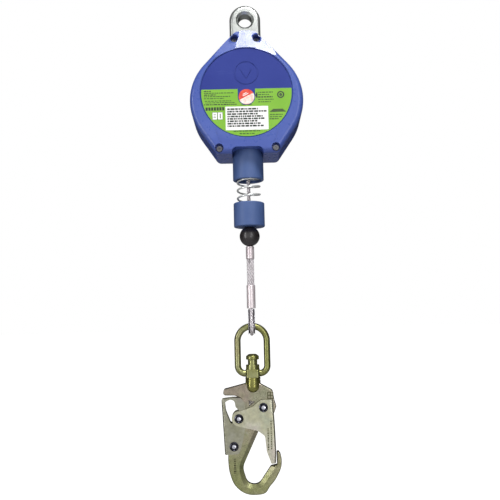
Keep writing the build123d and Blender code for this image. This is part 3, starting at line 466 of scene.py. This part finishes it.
def hook_zinc():
    """The forging: rosy grey at the shoulder, olive towards the bow, with a gilded barrel."""
    look = Look("hook_zinc", (0.40, 0.40, 0.20), 0.3, 1.0)
    drift = look.noise(24, 4, 0.6)
    shoulder = look.ramp(drift, (0.28, (0.30, 0.33, 0.21)), (0.46, (0.37, 0.36, 0.25)),
                         (0.58, (0.40, 0.34, 0.27)), (0.74, (0.33, 0.32, 0.20)))
    bow = look.ramp(drift, (0.28, (0.25, 0.28, 0.12)), (0.46, (0.33, 0.34, 0.16)), (0.58, (0.38, 0.37, 0.22)),
                    (0.74, (0.30, 0.30, 0.13)))
    height = look.math("MULTIPLY_ADD", look.axis("Z"), 12.0, 6.9)
    base = look.between(look.ramp(height, (0.0, 0.0), (1.0, 1.0)), bow, shoulder)
    barrel = look.math("MAXIMUM", look.math("GREATER_THAN", look.axis("Z"), BARREL_TOP_Z),
                       look.math("GREATER_THAN", look.math("ABSOLUTE", look.axis("Y")), BARREL_FRONT_Y))
    base = look.between(barrel, base, (0.30, 0.29, 0.09))
    fine = look.ramp(look.noise(210, 5, 0.65), (0.35, 0.78), (0.65, 1.10))
    base = look.between(1.0, base, fine, "MULTIPLY")
    rubbed = look.ramp(look.noise(60, 5, 0.7), (0.60, 0.0), (0.70, 1.0))
    look.color(look.between(look.math("MULTIPLY", rubbed, 0.22), base, (0.66, 0.66, 0.60)))
    look.roughness(look.noise(150, 5, 0.65), 0.18, 0.38)
    look.bump((look.noise(700, 4, 0.6), 0.05, 0.5), (look.noise(90, 3), 0.25, 0.5))
    return look.material


GATE_TONES = ((0.56, 0.55, 0.39), (0.64, 0.63, 0.50), (0.62, 0.56, 0.50), (0.48, 0.53, 0.42))
LEVER_SHADE = 0.64


def gate_zinc():
    """The pressed gate: paler and greyer than the forging."""
    return zinc_yellow("gate_zinc", *GATE_TONES)


def lever_zinc():
    """The pressed lever: the gate's tones, darker."""
    return zinc_yellow("lever_zinc", *[tuple(part * LEVER_SHADE for part in tone) for tone in GATE_TONES])


def wire_zinc():
    """The bail and swivel: deeper olive gold."""
    return zinc_yellow("wire_zinc", (0.29, 0.29, 0.10), (0.36, 0.37, 0.18),
                       (0.33, 0.31, 0.16), (0.22, 0.25, 0.09))


def stamp_dark():
    """Shaded floor of stamped marks."""
    look = Look("stamp_dark", (0.10, 0.10, 0.05), 0.45, 0.8)
    look.color(look.ramp(look.noise(900, 3), (0.35, (0.05, 0.05, 0.025)), (0.7, (0.16, 0.16, 0.08))))
    look.bump((look.noise(2200, 2), 0.02, 0.4))
    return look.material


RIVET_DOME = 2.7 * MM
HOOK_FACE_Y = 5.5


def rivet_dark():
    """Riveted heads: the dome painted bright as a highlight, inside a ring painted black as a reflection of the
    dark room.
    """
    look = Look("rivet_dark", (0.2, 0.2, 0.24), 0.25, 1.0)
    dome = None
    for name in ("gate_rivet", "latch_pin", "lever_rivet"):
        low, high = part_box(name)
        spot = look.near((low.x + high.x) / 2, (low.z + high.z) / 2, RIVET_DOME, 0.35 * MM)
        dome = look.math("MAXIMUM", dome, spot) if dome else spot
    # Painted reflection: the ring round the dome darkened as the dark room it would mirror.
    ring = look.ramp(look.noise(300, 4, 0.6), (0.35, (0.020, 0.020, 0.026)), (0.7, (0.075, 0.075, 0.095)))
    # Painted highlight: the bright colour of the dome.
    bright = look.ramp(look.noise(700, 4, 0.6), (0.35, (0.46, 0.47, 0.56)), (0.65, (0.80, 0.81, 0.88)))
    look.color(look.between(dome, ring, bright))
    look.roughness(look.noise(400, 3), 0.14, 0.30)
    look.bump((look.noise(500, 3, 0.6), 0.15, 0.6), (look.noise(1600, 2), 0.02, 0.4))
    return look.material


WIRES_ROUND = 9
WIRE_SLANT = -30.0


def rope_steel():
    """Galvanised wire rope: wires run slanting along every strand; painted shade darkens the gaps between wires
    and each strand's inner side.
    """
    look = Look("rope_steel", (0.85, 0.82, 0.84), 0.3, 0.45)
    uv = look.tree.nodes.new("ShaderNodeUVMap")
    uv.uv_map = "strand"
    around = look.axis("X", uv.outputs["UV"])
    along = look.axis("Y", uv.outputs["UV"])
    round_phase = look.math("MULTIPLY", around, TAU * WIRES_ROUND)
    phase = look.math("ADD", round_phase, look.math("MULTIPLY", along, WIRE_SLANT))
    wires = look.math("ABSOLUTE", look.math("SINE", look.math("MULTIPLY", phase, 0.5)))
    outer = look.math("COSINE", look.math("MULTIPLY", around, TAU))
    # Painted shade: each strand darker on the side that faces the rope's middle.
    strand_inner_shade = look.ramp(look.math("MULTIPLY_ADD", outer, 0.5), (0.54, 1.0), (0.78, 0.0))
    tone = look.noise(140, 4, 0.6)
    base = look.ramp(tone, (0.32, (0.76, 0.71, 0.74)), (0.62, (0.97, 0.92, 0.95)))
    # Painted shade: dark lines in the grooves between the wires.
    base = look.between(look.ramp(wires, (0.0, 0.7), (0.35, 0.0)), base, (0.12, 0.09, 0.12))
    look.color(look.between(strand_inner_shade, base, (0.035, 0.022, 0.032)))
    look.roughness(look.noise(600, 3), 0.20, 0.38)
    look.bump((wires, 0.08, 0.7), (look.noise(1500, 2), 0.02, 0.4))
    return look.material


def ball_black():
    """Moulded rubber stop ball with a satin bloom."""
    look = Look("ball_black", (0.018, 0.014, 0.017), 0.30, Specular_IOR_Level=0.8)
    look.color(look.ramp(look.noise(70, 4, 0.6), (0.35, (0.010, 0.008, 0.009)), (0.7, (0.028, 0.022, 0.024))))
    look.roughness(look.noise(300, 4, 0.6), 0.22, 0.40)
    look.bump((look.noise(1300, 3), 0.05, 0.5), (look.noise(90, 3), 0.15, 0.4))
    return look.material


def plastic(name, color, roughness):
    look = Look(name, color, roughness)
    dark = tuple(c * 0.75 for c in color)
    look.color(look.ramp(look.noise(60, 3), (0.35, dark), (0.7, color)))
    look.roughness(look.noise(300, 3), roughness - 0.08, roughness + 0.1)
    look.bump((look.noise(1500, 2), 0.04, 0.5))
    return look.material


def lining_brown():
    """Sintered friction lining: brown matrix with brass and carbon flecks."""
    look = Look("lining_brown", (0.11, 0.06, 0.035), 0.8)
    base = look.ramp(look.noise(300, 4, 0.7), (0.35, (0.06, 0.035, 0.022)), (0.7, (0.15, 0.085, 0.05)))
    flecks = look.ramp(look.cells(1200), (0.05, 1.0), (0.12, 0.0))
    look.color(look.between(look.math("MULTIPLY", flecks, 0.6), base, (0.45, 0.33, 0.14)))
    look.bump((look.noise(900, 4, 0.7), 0.10, 0.7))
    return look.material


def screw_dark():
    """Head of a shell screw, down in its counterbore, darkened as painted shade."""
    return metal("screw_dark", (0.26, 0.26, 0.28), (0.12, 0.12, 0.14), 0.12, 0.28, 1500, 150)


MAKERS = {
    "shell_blue": shell_blue,
    "nozzle_blue": nozzle_blue,
    "label_green": label_green,
    "sticker_white": sticker_white,
    "sticker_red": sticker_red,
    "eye_steel": eye_steel,
    "screw_steel": lambda: metal("screw_steel", (0.78, 0.77, 0.74), (0.60, 0.59, 0.56),
                                 0.14, 0.30, 1500, 150),
    "frame_steel": lambda: metal("frame_steel", (0.55, 0.56, 0.57), (0.42, 0.43, 0.45), 0.28, 0.48, 900, 40),
    "drum_aluminium": lambda: metal("drum_aluminium", (0.72, 0.73, 0.74), (0.58, 0.59, 0.60),
                                    0.24, 0.42, 700, 50),
    "pawl_steel": lambda: metal("pawl_steel", (0.34, 0.34, 0.36), (0.20, 0.20, 0.22), 0.30, 0.50, 900, 60),
    "bush_bronze": lambda: metal("bush_bronze", (0.62, 0.42, 0.18), (0.45, 0.29, 0.12), 0.26, 0.42, 900, 60),
    "lining_brown": lining_brown,
    "spring_steel": lambda: metal("spring_steel", (0.36, 0.37, 0.42), (0.20, 0.21, 0.25),
                                  0.20, 0.36, 1100, 90),
    "buffer_zinc": lambda: metal("buffer_zinc", (0.92, 0.93, 0.92), (0.72, 0.74, 0.73),
                                 0.14, 0.30, 1300, 120, share=0.55),
    "guide_plastic": lambda: plastic("guide_plastic", (0.03, 0.03, 0.032), 0.42),
    "rope_steel": rope_steel,
    "ball_black": ball_black,
    "ferrule_tin": lambda: metal("ferrule_tin", (0.86, 0.78, 0.80), (0.58, 0.50, 0.53), 0.16, 0.34, 1000, 90,
                                 (1, 1, 0.12), 0.03, 0.45),
    "thimble_zinc": lambda: metal("thimble_zinc", (0.55, 0.54, 0.57), (0.38, 0.37, 0.40),
                                  0.22, 0.40, 900, 80),
    "hook_zinc": hook_zinc,
    "rivet_dark": rivet_dark,
}
# The shell screws take a dark copy of the screw steel: painted shade of their counterbores.
OWN_LOOKS = {"gate": gate_zinc, "lock_lever": lever_zinc, "swivel_bail": wire_zinc, "swivel_stud": wire_zinc,
             "swivel_bush": wire_zinc, "shell_screws": screw_dark}

looks = {}


def look_of(slot):
    if slot not in looks:
        looks[slot] = MAKERS[slot]()
    return looks[slot]


def paint_cad():
    """Gives every CAD node the material of its slot in the record, or its own tone of it."""
    own = {make: make() for make in dict.fromkeys(OWN_LOOKS.values())}
    for part in record["subparts"]:
        name = part["node"]
        material = own[OWN_LOOKS[name]] if name in OWN_LOOKS else look_of(part["material_slot"])
        for slot in nodes[name].material_slots:
            slot.link = "OBJECT"
            slot.material = material


# ---- pieces ----

def new_piece(name, shape, material, body, smooth=True):
    """An object from a bmesh, riding on a body."""
    mesh = bpy.data.meshes.new(name)
    shape.to_mesh(mesh)
    shape.free()
    for face in mesh.polygons:
        face.use_smooth = smooth
    mesh.materials.append(material)
    piece = bpy.data.objects.new(name, mesh)
    bpy.context.scene.collection.objects.link(piece)
    if body:
        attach(piece, body)
    return piece


def spline_points(points, steps=12):
    """The points of one smooth line that has the given points as its control points."""
    curve = bpy.data.curves.new("route", "CURVE")
    curve.dimensions = "3D"
    curve.resolution_u = steps
    spline = curve.splines.new("NURBS")
    spline.points.add(len(points) - 1)
    for target, point in zip(spline.points, points):
        target.co = (*point, 1)
    spline.order_u = 3
    spline.use_endpoint_u = True
    route = bpy.data.objects.new("route", curve)
    bpy.context.scene.collection.objects.link(route)
    mesh = bpy.data.meshes.new_from_object(route)
    line = [v.co.copy() for v in mesh.vertices]
    bpy.data.meshes.remove(mesh)
    bpy.data.objects.remove(route)
    bpy.data.curves.remove(curve)
    return line


def lengths(line):
    total = [0.0]
    for a, b in zip(line, line[1:]):
        total.append(total[-1] + (b - a).length)
    return total


def resampled(line, step):
    """The line again, with evenly spaced points."""
    along = lengths(line)
    count = max(2, math.ceil(along[-1] / step) + 1)
    points = []
    index = 0
    for i in range(count):
        wanted = along[-1] * i / (count - 1)
        while index < len(line) - 2 and along[index + 1] < wanted:
            index += 1
        share = (wanted - along[index]) / max(along[index + 1] - along[index], 1e-12)
        points.append(line[index].lerp(line[index + 1], min(max(share, 0.0), 1.0)))
    return points


def turned_frames(line, side):
    """Two cross directions for every point, carried along without twisting."""
    frames = []
    for i in range(len(line)):
        ahead = (line[min(i + 1, len(line) - 1)] - line[max(i - 1, 0)]).normalized()
        side = (side - ahead * side.dot(ahead)).normalized()
        frames.append((ahead, side.copy(), ahead.cross(side)))
    return frames


def add_tube(shape, line, radius, sides, frames, uv_layer=None):
    """A tube along a line. Its UV runs round the tube, from the side that faces outward, and along it."""
    rings = []
    along = lengths(line)
    turns = [TAU * k / sides for k in range(sides)]
    for point, (_, a, b) in zip(line, frames):
        rings.append([shape.verts.new(point + (a * math.cos(turn) + b * math.sin(turn)) * radius)
                      for turn in turns])
    for i in range(len(rings) - 1):
        for k in range(sides):
            face = shape.faces.new((rings[i][k], rings[i][(k + 1) % sides],
                                    rings[i + 1][(k + 1) % sides], rings[i + 1][k]))
            if uv_layer:
                for loop, (step, turn) in zip(face.loops, ((i, k), (i, k + 1), (i + 1, k + 1), (i + 1, k))):
                    loop[uv_layer].uv = (turn / sides, along[step] * UV_PER_METRE)
    shape.faces.new(list(reversed(rings[0])))
    shape.faces.new(rings[-1])


# ---- wire rope ----

STRANDS = 6
STRAND_RADIUS = 0.78 * MM
STRAND_OFFSET = 1.47 * MM
LAY_LENGTH = 27.0 * MM
STRAND_SIDES = 10
UV_PER_METRE = 100.0
RING_STEP = 1.5 * MM


def strand_line(line, frames, strand):
    """One strand wound round the rope's line, with the outward direction at each point."""
    points = []
    outward = []
    for s, point, (ahead, a, b) in zip(lengths(line), line, frames):
        turn = TAU * (s / LAY_LENGTH + strand / STRANDS)
        away = a * math.cos(turn) + b * math.sin(turn)
        points.append(point + away * STRAND_OFFSET)
        outward.append((ahead, away, ahead.cross(away)))
    return points, outward


def rope_shape(line, side=Vector((1, 0, 0))):
    """Stranded rope along a line, as a bmesh with its core filling the middle."""
    shape = bmesh.new()
    uv_layer = shape.loops.layers.uv.new("strand")
    line = resampled(line, RING_STEP)
    frames = turned_frames(line, side)
    for strand in range(STRANDS):
        points, outward = strand_line(line, frames, strand)
        add_tube(shape, points, STRAND_RADIUS, STRAND_SIDES, outward, uv_layer)
    add_tube(shape, line, STRAND_OFFSET - STRAND_RADIUS * 0.5, STRAND_SIDES, frames)
    return shape


ROUTE_INSIDE = [mm(32.1, 0, -138.5), mm(20.0, 0, -149.6), mm(9.0, 0, -159.7), mm(0, 0, -168.0),
                mm(0, 0, -174.0), mm(0, 0, -178.0)]
ROUTE_FREE = [
    mm(0, 0, -178.0), mm(0, 0, -185.0), mm(0, 0, -289.0), mm(0, 0, -296.5), mm(-2.3, 0, -306.0),
    mm(-2.3, 0, -313.0), mm(-2.3, 0, -344.0), mm(-2.3, 0, -351.0), mm(-1.8, -1.6, -359.0),
    mm(0, -2.3, -367.0), mm(0, -2.3, -377.0), mm(0, -4.6, -383.0), mm(0, -9.3, -388.9),
    mm(0, -10.2, -397.0), mm(0, -4.2, -402.9), mm(0, 4.2, -402.9), mm(0, 10.2, -397.0),
    mm(0, 9.3, -388.9), mm(0, 4.6, -383.0), mm(0, 2.3, -377.0), mm(0, 2.3, -367.0),
    mm(1.8, 1.6, -359.0), mm(2.3, 0, -351.0), mm(2.3, 0, -344.0), mm(2.3, 0, -304.0), mm(2.3, 0, -297.0)]
STRETCH_TOP = -0.1790
STRETCH_BOTTOM = -0.1990


def rope_inside():
    """The rope from the drum to the guide's throat, which stays in the housing."""
    shape = rope_shape(spline_points(ROUTE_INSIDE))
    return new_piece("rope_inside", shape, look_of("rope_steel"), "housing")


def moved_share(z):
    """How much of the payout a point at height z takes part in."""
    t = min(max((STRETCH_TOP - z) / (STRETCH_TOP - STRETCH_BOTTOM), 0.0), 1.0)
    return t * t * (3 - 2 * t)


def rest_height(z, payout):
    """Where a point of the paid-out rope lies at rest: the rope between is packed inside the spout."""
    if z >= STRETCH_TOP:
        return z
    if z <= STRETCH_BOTTOM - payout:
        return z + payout
    low, high = STRETCH_BOTTOM, STRETCH_TOP
    for _ in range(50):
        middle = (low + high) / 2
        if middle - moved_share(middle) * payout > z:
            high = middle
        else:
            low = middle
    return (low + high) / 2


def free_rope():
    """One rope from the guide through ball and ferrules, round the thimble and back to the upper ferrule."""
    payout = joint_range("lifeline_payout")[1]
    rest_line = spline_points(ROUTE_FREE)
    out_line = [p - Vector((0, 0, payout)) if p.z < STRETCH_BOTTOM else p for p in rest_line]
    shape = rope_shape(out_line)
    for vert in shape.verts:
        vert.co.z = rest_height(vert.co.z, payout)
    rope = new_piece("wire_rope", shape, look_of("rope_steel"), None)
    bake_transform(rope)
    return rope, rest_line


def add_rope():
    inside = rope_inside()
    rope, line = free_rope()
    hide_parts("rope_run")
    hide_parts("rope_run", "rope_end")
    add_thimble()


# ---- thimble ----

THIMBLE_ROUTE = [
    mm(0, -2.1, -372.0), mm(0, -2.2, -377.2), mm(0, -3.4, -380.6), mm(0, -7.3, -386.3), mm(0, -9.4, -389.9),
    mm(0, -10.2, -397.0), mm(0, -4.2, -402.9), mm(0, 4.2, -402.9), mm(0, 10.2, -397.0),
    mm(0, 9.4, -389.9), mm(0, 7.3, -386.3), mm(0, 3.4, -380.6), mm(0, 2.2, -377.2),
    mm(0, 2.1, -372.0)]
THIMBLE_PIVOT = mm(0, 0, -393.2)
# Section of the thimble's strip: across, and outward from the rope's centre line
GROOVE = [(-4.3, 0.9), (-3.9, 1.1), (-3.1, -0.6), (-2.0, -2.0), (0.0, -2.6), (2.0, -2.0), (3.1, -0.6),
          (3.9, 1.1), (4.3, 0.9), (3.7, -1.2), (2.5, -2.9), (0.0, -3.65), (-2.5, -2.9), (-3.7, -1.2)]


def add_thimble():
    """Pressed teardrop thimble: a grooved strip bent round inside the rope's loop."""
    line = resampled(spline_points(THIMBLE_ROUTE), 0.8 * MM)
    shape = bmesh.new()
    rings = []
    for i, point in enumerate(line):
        ahead = (line[min(i + 1, len(line) - 1)] - line[max(i - 1, 0)]).normalized()
        outward = Vector((1, 0, 0)).cross(ahead)
        if outward.dot(point - THIMBLE_PIVOT) < 0:
            outward.negate()
        rings.append([shape.verts.new(point + mm(x, 0, 0) + outward * (depth * MM)) for x, depth in GROOVE])
    sides = len(GROOVE)
    for i in range(len(rings) - 1):
        for k in range(sides):
            n = (k + 1) % sides
            shape.faces.new((rings[i][k], rings[i][n], rings[i + 1][n], rings[i + 1][k]))
    shape.faces.new(list(reversed(rings[0])))
    shape.faces.new(rings[-1])
    bmesh.ops.recalc_face_normals(shape, faces=shape.faces)
    piece = new_piece("rope_thimble", shape, look_of("thimble_zinc"), "line_end")
    soften(piece, 1)
    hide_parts("thimble")
    return piece


def soften(piece, levels):
    modifier = piece.modifiers.new("soften", "SUBSURF")
    modifier.levels = levels
    modifier.render_levels = levels


# ---- buffer spring ----

SPRING_RADIUS = 14.1 * MM
SPRING_WIRE = 1.15 * MM
SPRING_PITCH = 10.33 * MM
SPRING_RIGHT_Z = -0.2267
SPRING_STEPS = 40
SPRING_SIDES = 14
SPRING_EASE = 2 * MM
SPRING_CLOSED_SHARE = 0.8


def add_spring():
    """Coil spring with closed, ground ends."""
    low = bottom_of("buffer_spring") + SPRING_WIRE
    high = top_of("buffer_spring") - SPRING_WIRE
    closed = 2 * SPRING_WIRE
    first = math.floor((SPRING_RIGHT_Z - low) / SPRING_PITCH)
    start_turn = (SPRING_RIGHT_Z - low - closed - first * SPRING_PITCH) / SPRING_PITCH
    points = []
    turn = -1.0
    z = low
    while z < high - 1e-9 or turn < 0:
        angle = TAU * (turn - start_turn)
        points.append(Vector((SPRING_RADIUS * math.cos(angle), SPRING_RADIUS * math.sin(angle), z)))
        turn += 1 / SPRING_STEPS
        from_low = max(0.0, (z - low - closed * SPRING_CLOSED_SHARE) / SPRING_EASE)
        from_high = max(0.0, (high - z - closed * SPRING_CLOSED_SHARE) / SPRING_EASE)
        steep = min(1.0, from_low, from_high)
        rise = closed + (SPRING_PITCH - closed) * (steep * steep * (3 - 2 * steep))
        z += rise / SPRING_STEPS
    shape = bmesh.new()
    add_tube(shape, points, SPRING_WIRE, SPRING_SIDES, turned_frames(points, Vector((0, 0, 1))))
    spring = new_piece("impact_spring", shape, look_of("buffer_zinc"), "housing")
    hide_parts("buffer_spring")
    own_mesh(spring)


# ---- printing on the labels ----

PRINT_THICK = 0.04


def add_bar(shape, x0, x1, z0, z1, y, thick=PRINT_THICK):
    """A flat printed block, in millimetres, standing on the surface at y."""
    corners = [(x0, z0), (x1, z0), (x1, z1), (x0, z1)]
    front = [shape.verts.new(mm(x, y - thick, z)) for x, z in corners]
    back = [shape.verts.new(mm(x, y, z)) for x, z in corners]
    shape.faces.new(front)
    shape.faces.new(list(reversed(back)))
    for k in range(4):
        shape.faces.new((front[k], back[k], back[(k + 1) % 4], front[(k + 1) % 4]))


def add_words(shape, x0, x1, z, height, y, dice, longest=4.2):
    """A row of blocks with uneven lengths and gaps, which stands for a line of small print."""
    x = x0
    while x < x1 - 0.6:
        width = min(dice.uniform(1.1, longest), x1 - x)
        add_bar(shape, x, x + width, z - height / 2, z + height / 2, y)
        x += width + dice.uniform(0.55, 0.95)


def add_round(shape, x, z, outer, inner, y, steps=32):
    """A printed ring."""
    rings = []
    for depth in (PRINT_THICK, 0.0):
        for radius in (outer, inner):
            rings.append([shape.verts.new(mm(x + radius * math.cos(TAU * k / steps), y - depth,
                                             z + radius * math.sin(TAU * k / steps))) for k in range(steps)])
    front_out, front_in, back_out, back_in = rings
    for k in range(steps):
        n = (k + 1) % steps
        shape.faces.new((front_out[k], front_out[n], front_in[n], front_in[k]))
        shape.faces.new((front_out[k], back_out[k], back_out[n], front_out[n]))
        shape.faces.new((front_in[k], front_in[n], back_in[n], back_in[k]))
        shape.faces.new((back_out[k], back_in[k], back_in[n], back_out[n]))


# Rows of print: left end, right end, height on the label, thickness of the row
LABEL_SMALL_ROWS = [
    (-53, -16, -104.2, 1.2), (-53, -20, -108.7, 1.2), (-53, -28, -111.2, 1.2), (-52, -18, -114.4, 1.1),
    (-51, -14, -116.6, 1.1), (14.5, 33.0, -104.4, 1.3), (14.5, 29.0, -107.4, 1.3), (14.5, 33.5, -113.6, 1.3),
    (14.5, 30.0, -116.6, 1.2), (28.5, 45.0, -133.2, 1.2), (28.5, 43.0, -136.0, 1.2),
    (-17.0, 16.5, -153.4, 1.3), (-9.5, 10.0, -156.6, 1.3)]
LABEL_BOLD_ROWS = [
    (-53, -44, -101.9, 1.3), (-53, -38, -106.5, 1.3), (-53, -12.6, -119.0, 1.3), (14.5, 33.5, -110.4, 1.6),
    (28.0, 39.0, -138.6, 1.3)]
STICKER_ROWS = [
    (-24.2, 14.0, -125.3), (-24.2, 24.4, -128.4), (-24.2, 13.4, -131.6), (-24.2, 20.0, -134.7),
    (-24.2, 22.9, -137.7), (-24.2, 12.8, -140.7), (-24.2, 16.7, -143.8), (-24.2, 20.6, -146.9)]
BATCH_MARKS = 7
BATCH_FIRST_X = -51.0
BATCH_STEP = 3.4
BATCH_WIDTH = 2.6
BATCH_HEIGHTS = (-126.6, -122.4)
UNDERLINE = (-7.6, 6.9, -120.4, -119.7)
ROUND_MARK = (42.5, -107.8)
ROUND_MARK_RINGS = ((4.5, 2.9), (1.8, 0.3))
POINTER_BAR = (12.2, 13.7, -111.4, -104.4)
POINTER_TIP = ((10.7, -107.9), (12.2, -110.6), (12.2, -105.2))
STEPS = 4
STEPS_MIDDLE = 38.5
STEPS_HALF = 10.0
STEPS_SHRINK = 1.2
STEPS_HEIGHTS = (-129.8, -129.0)
PICTOGRAM_LEFTS = (-42.6, -35.9)
PICTOGRAM_SIDE = 5.7
PICTOGRAM_HEIGHTS = (-138.0, -129.1)
PICTOGRAM_EDGE = 0.35
PICTOGRAM_EDGE_RISE = 0.6
PICTOGRAM_BAR_RISE = 1.6
PICTOGRAM_ROWS_SPAN = (-41.5, -38.2)
PICTOGRAM_ROWS = (-131.6, -133.6, -135.6)
PICTOGRAM_ROW_HALF = 0.3
PICTOGRAM_POST = (-33.6, -32.5, -136.6, -130.6)
STICKER_PRINT_HEIGHT = 2.1
STICKER_LONGEST = 5.5
ROUND_STICKER_BARS = ((-3.6, 4.0, 2.9), (-2.6, 2.6, 4.7))
ROUND_STICKER_BAR_HALF = 0.45
LABEL_SEED = 7
STICKER_SEED = 11


def print_piece(name, shape, material, body="housing"):
    piece = new_piece(name, shape, material, body, smooth=False)
    return piece


def add_label_print():
    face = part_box("label_plate")[0].y / MM
    dice = random.Random(LABEL_SEED)
    small = bmesh.new()
    for x0, x1, z, height in LABEL_SMALL_ROWS:
        add_words(small, x0, x1, z, height, face, dice)
    print_piece("label_small_print", small, print_green())
    black = print_black()
    bold = bmesh.new()
    for x0, x1, z, height in LABEL_BOLD_ROWS:
        add_words(bold, x0, x1, z, height, face, dice)
    for i in range(BATCH_MARKS):
        x = BATCH_FIRST_X + i * BATCH_STEP
        add_bar(bold, x, x + BATCH_WIDTH, *BATCH_HEIGHTS, face)
    add_bar(bold, *UNDERLINE, face)
    for outer, inner in ROUND_MARK_RINGS:
        add_round(bold, *ROUND_MARK, outer, inner, face)
    add_bar(bold, *POINTER_BAR, face)
    bold.faces.new([bold.verts.new(mm(x, face - PRINT_THICK, z)) for x, z in POINTER_TIP])
    for step in range(STEPS):
        half = STEPS_HALF - step * STEPS_SHRINK
        low, high = (z + step for z in STEPS_HEIGHTS)
        add_bar(bold, STEPS_MIDDLE - half, STEPS_MIDDLE + half, low, high, face)
    print_piece("label_bold_print", bold, black)


def add_pictograms():
    """Two white squares with plain bars in them."""
    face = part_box("label_plate")[0].y / MM
    white = bmesh.new()
    dark = bmesh.new()
    low, high = PICTOGRAM_HEIGHTS
    edge = PICTOGRAM_EDGE
    for x in PICTOGRAM_LEFTS:
        add_bar(dark, x - edge, x + PICTOGRAM_SIDE + edge, low - edge, high + edge, face,
                PRINT_THICK * PICTOGRAM_EDGE_RISE)
        add_bar(white, x, x + PICTOGRAM_SIDE, low, high, face)
    raised = PRINT_THICK * PICTOGRAM_BAR_RISE
    left, right = PICTOGRAM_ROWS_SPAN
    for z in PICTOGRAM_ROWS:
        add_bar(dark, left, right, z - PICTOGRAM_ROW_HALF, z + PICTOGRAM_ROW_HALF, face, raised)
    add_bar(dark, *PICTOGRAM_POST, face, raised)
    print_piece("pictogram_white", white, print_white())
    print_piece("pictogram_lines", dark, bpy.data.materials["print_black"])


def add_sticker_print():
    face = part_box("data_sticker")[0].y / MM
    dice = random.Random(STICKER_SEED)
    rows = bmesh.new()
    for x0, x1, z in STICKER_ROWS:
        add_words(rows, x0, x1, z, STICKER_PRINT_HEIGHT, face, dice, STICKER_LONGEST)
    print_piece("sticker_print", rows, bpy.data.materials["print_black"])


def add_round_sticker_print():
    """Slanting bars on the two halves of the round sticker."""
    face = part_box("inspection_sticker")[0].y / MM
    tilt = math.radians(ROUND_STICKER_TILT)
    light = bmesh.new()
    half = ROUND_STICKER_BAR_HALF
    for x0, x1, middle in ROUND_STICKER_BARS:
        add_bar(light, x0, x1, middle - half, middle + half, face)
    turn = Matrix.Rotation(-tilt, 4, "Y")
    shift = Matrix.Translation(mm(0, 0, ROUND_STICKER[1] / MM))
    bmesh.ops.transform(light, matrix=shift @ turn, verts=light.verts)
    print_piece("round_sticker_print", light, bpy.data.materials["print_white"])


# ---- stamped marks and the latch's spring ----

GATE_MARK_COLUMNS = [(20.6, -507.0, -541.0, 1.5), (16.9, -516.0, -541.5, 1.9)]
HOOK_MARK_COLUMN = (-24.0, -551.6, -569.4, 3.4)
HOOK_POCKET_DEPTH = 0.6
SHOULDER_MARK = (17.4, 24.0, -481.2, -473.6)
WINDOW_WIRE = 0.45
WINDOW_WIRES = [((-5.3, -483.2), (-4.9, -489.6)), ((-3.6, -483.4), (-3.2, -488.4)),
                ((-1.9, -483.8), (-1.5, -487.2)), ((-0.2, -484.1), (0.1, -485.9))]
WINDOW_WIRE_Y = -3.4
WINDOW_WIRE_SIDES = 12
STAMP_HALF = 0.5
STAMP_SEED = 5


def add_column(shape, x, top, bottom, width, y, dice):
    """Plain blocks one below the other, with uneven heights and gaps."""
    z = top
    while z > bottom + 0.8:
        height = dice.uniform(0.9, 2.2)
        narrow = dice.uniform(0.65, 1.0) * width / 2
        add_bar(shape, x - narrow, x + narrow, max(z - height, bottom), z, y)
        z -= height + dice.uniform(0.6, 1.0)


def add_stamped_marks():
    """Generic stamping: two columns on the gate, one in the hook's pocket, a small grid on its shoulder."""
    dark = stamp_dark()
    dice = random.Random(STAMP_SEED)
    gate = bmesh.new()
    for x, top, bottom, width in GATE_MARK_COLUMNS:
        add_column(gate, x, top, bottom, width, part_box("gate")[0].y / MM, dice)
    print_piece("gate_stamping", gate, dark, "gate")
    face = -HOOK_FACE_Y
    hook = bmesh.new()
    x, top, bottom, width = HOOK_MARK_COLUMN
    add_column(hook, x, top, bottom, width, face + HOOK_POCKET_DEPTH, dice)
    left, right, low, high = SHOULDER_MARK
    middle = (low + high) / 2
    for x in (left, (left + right) / 2, right):
        add_bar(hook, x - STAMP_HALF, x + STAMP_HALF, low, high, face)
    for z in (low, middle, high):
        add_bar(hook, left, right, z - STAMP_HALF, z + STAMP_HALF, face, PRINT_THICK * 0.8)
    print_piece("hook_stamping", hook, dark, "hook")


def add_window_spring():
    """Dark spring wires that show in the small window of the hook."""
    shape = bmesh.new()
    for (x0, z0), (x1, z1) in WINDOW_WIRES:
        line = resampled([mm(x0, WINDOW_WIRE_Y, z0), mm(x1, WINDOW_WIRE_Y, z1)], 0.5 * MM)
        add_tube(shape, line, WINDOW_WIRE * MM, WINDOW_WIRE_SIDES, turned_frames(line, Vector((1, 0, 0))))
    piece = new_piece("window_spring", shape, look_of("spring_steel"), "hook")


# ---- everything ----


bpy.context.scene.view_settings.view_transform = "Standard"
add_camera()
add_world()
add_lights()
add_floor()
paint_cad()
add_rope()
add_spring()
add_label_print()
add_pictograms()
add_sticker_print()
add_round_sticker_print()
add_stamped_marks()
add_window_spring()
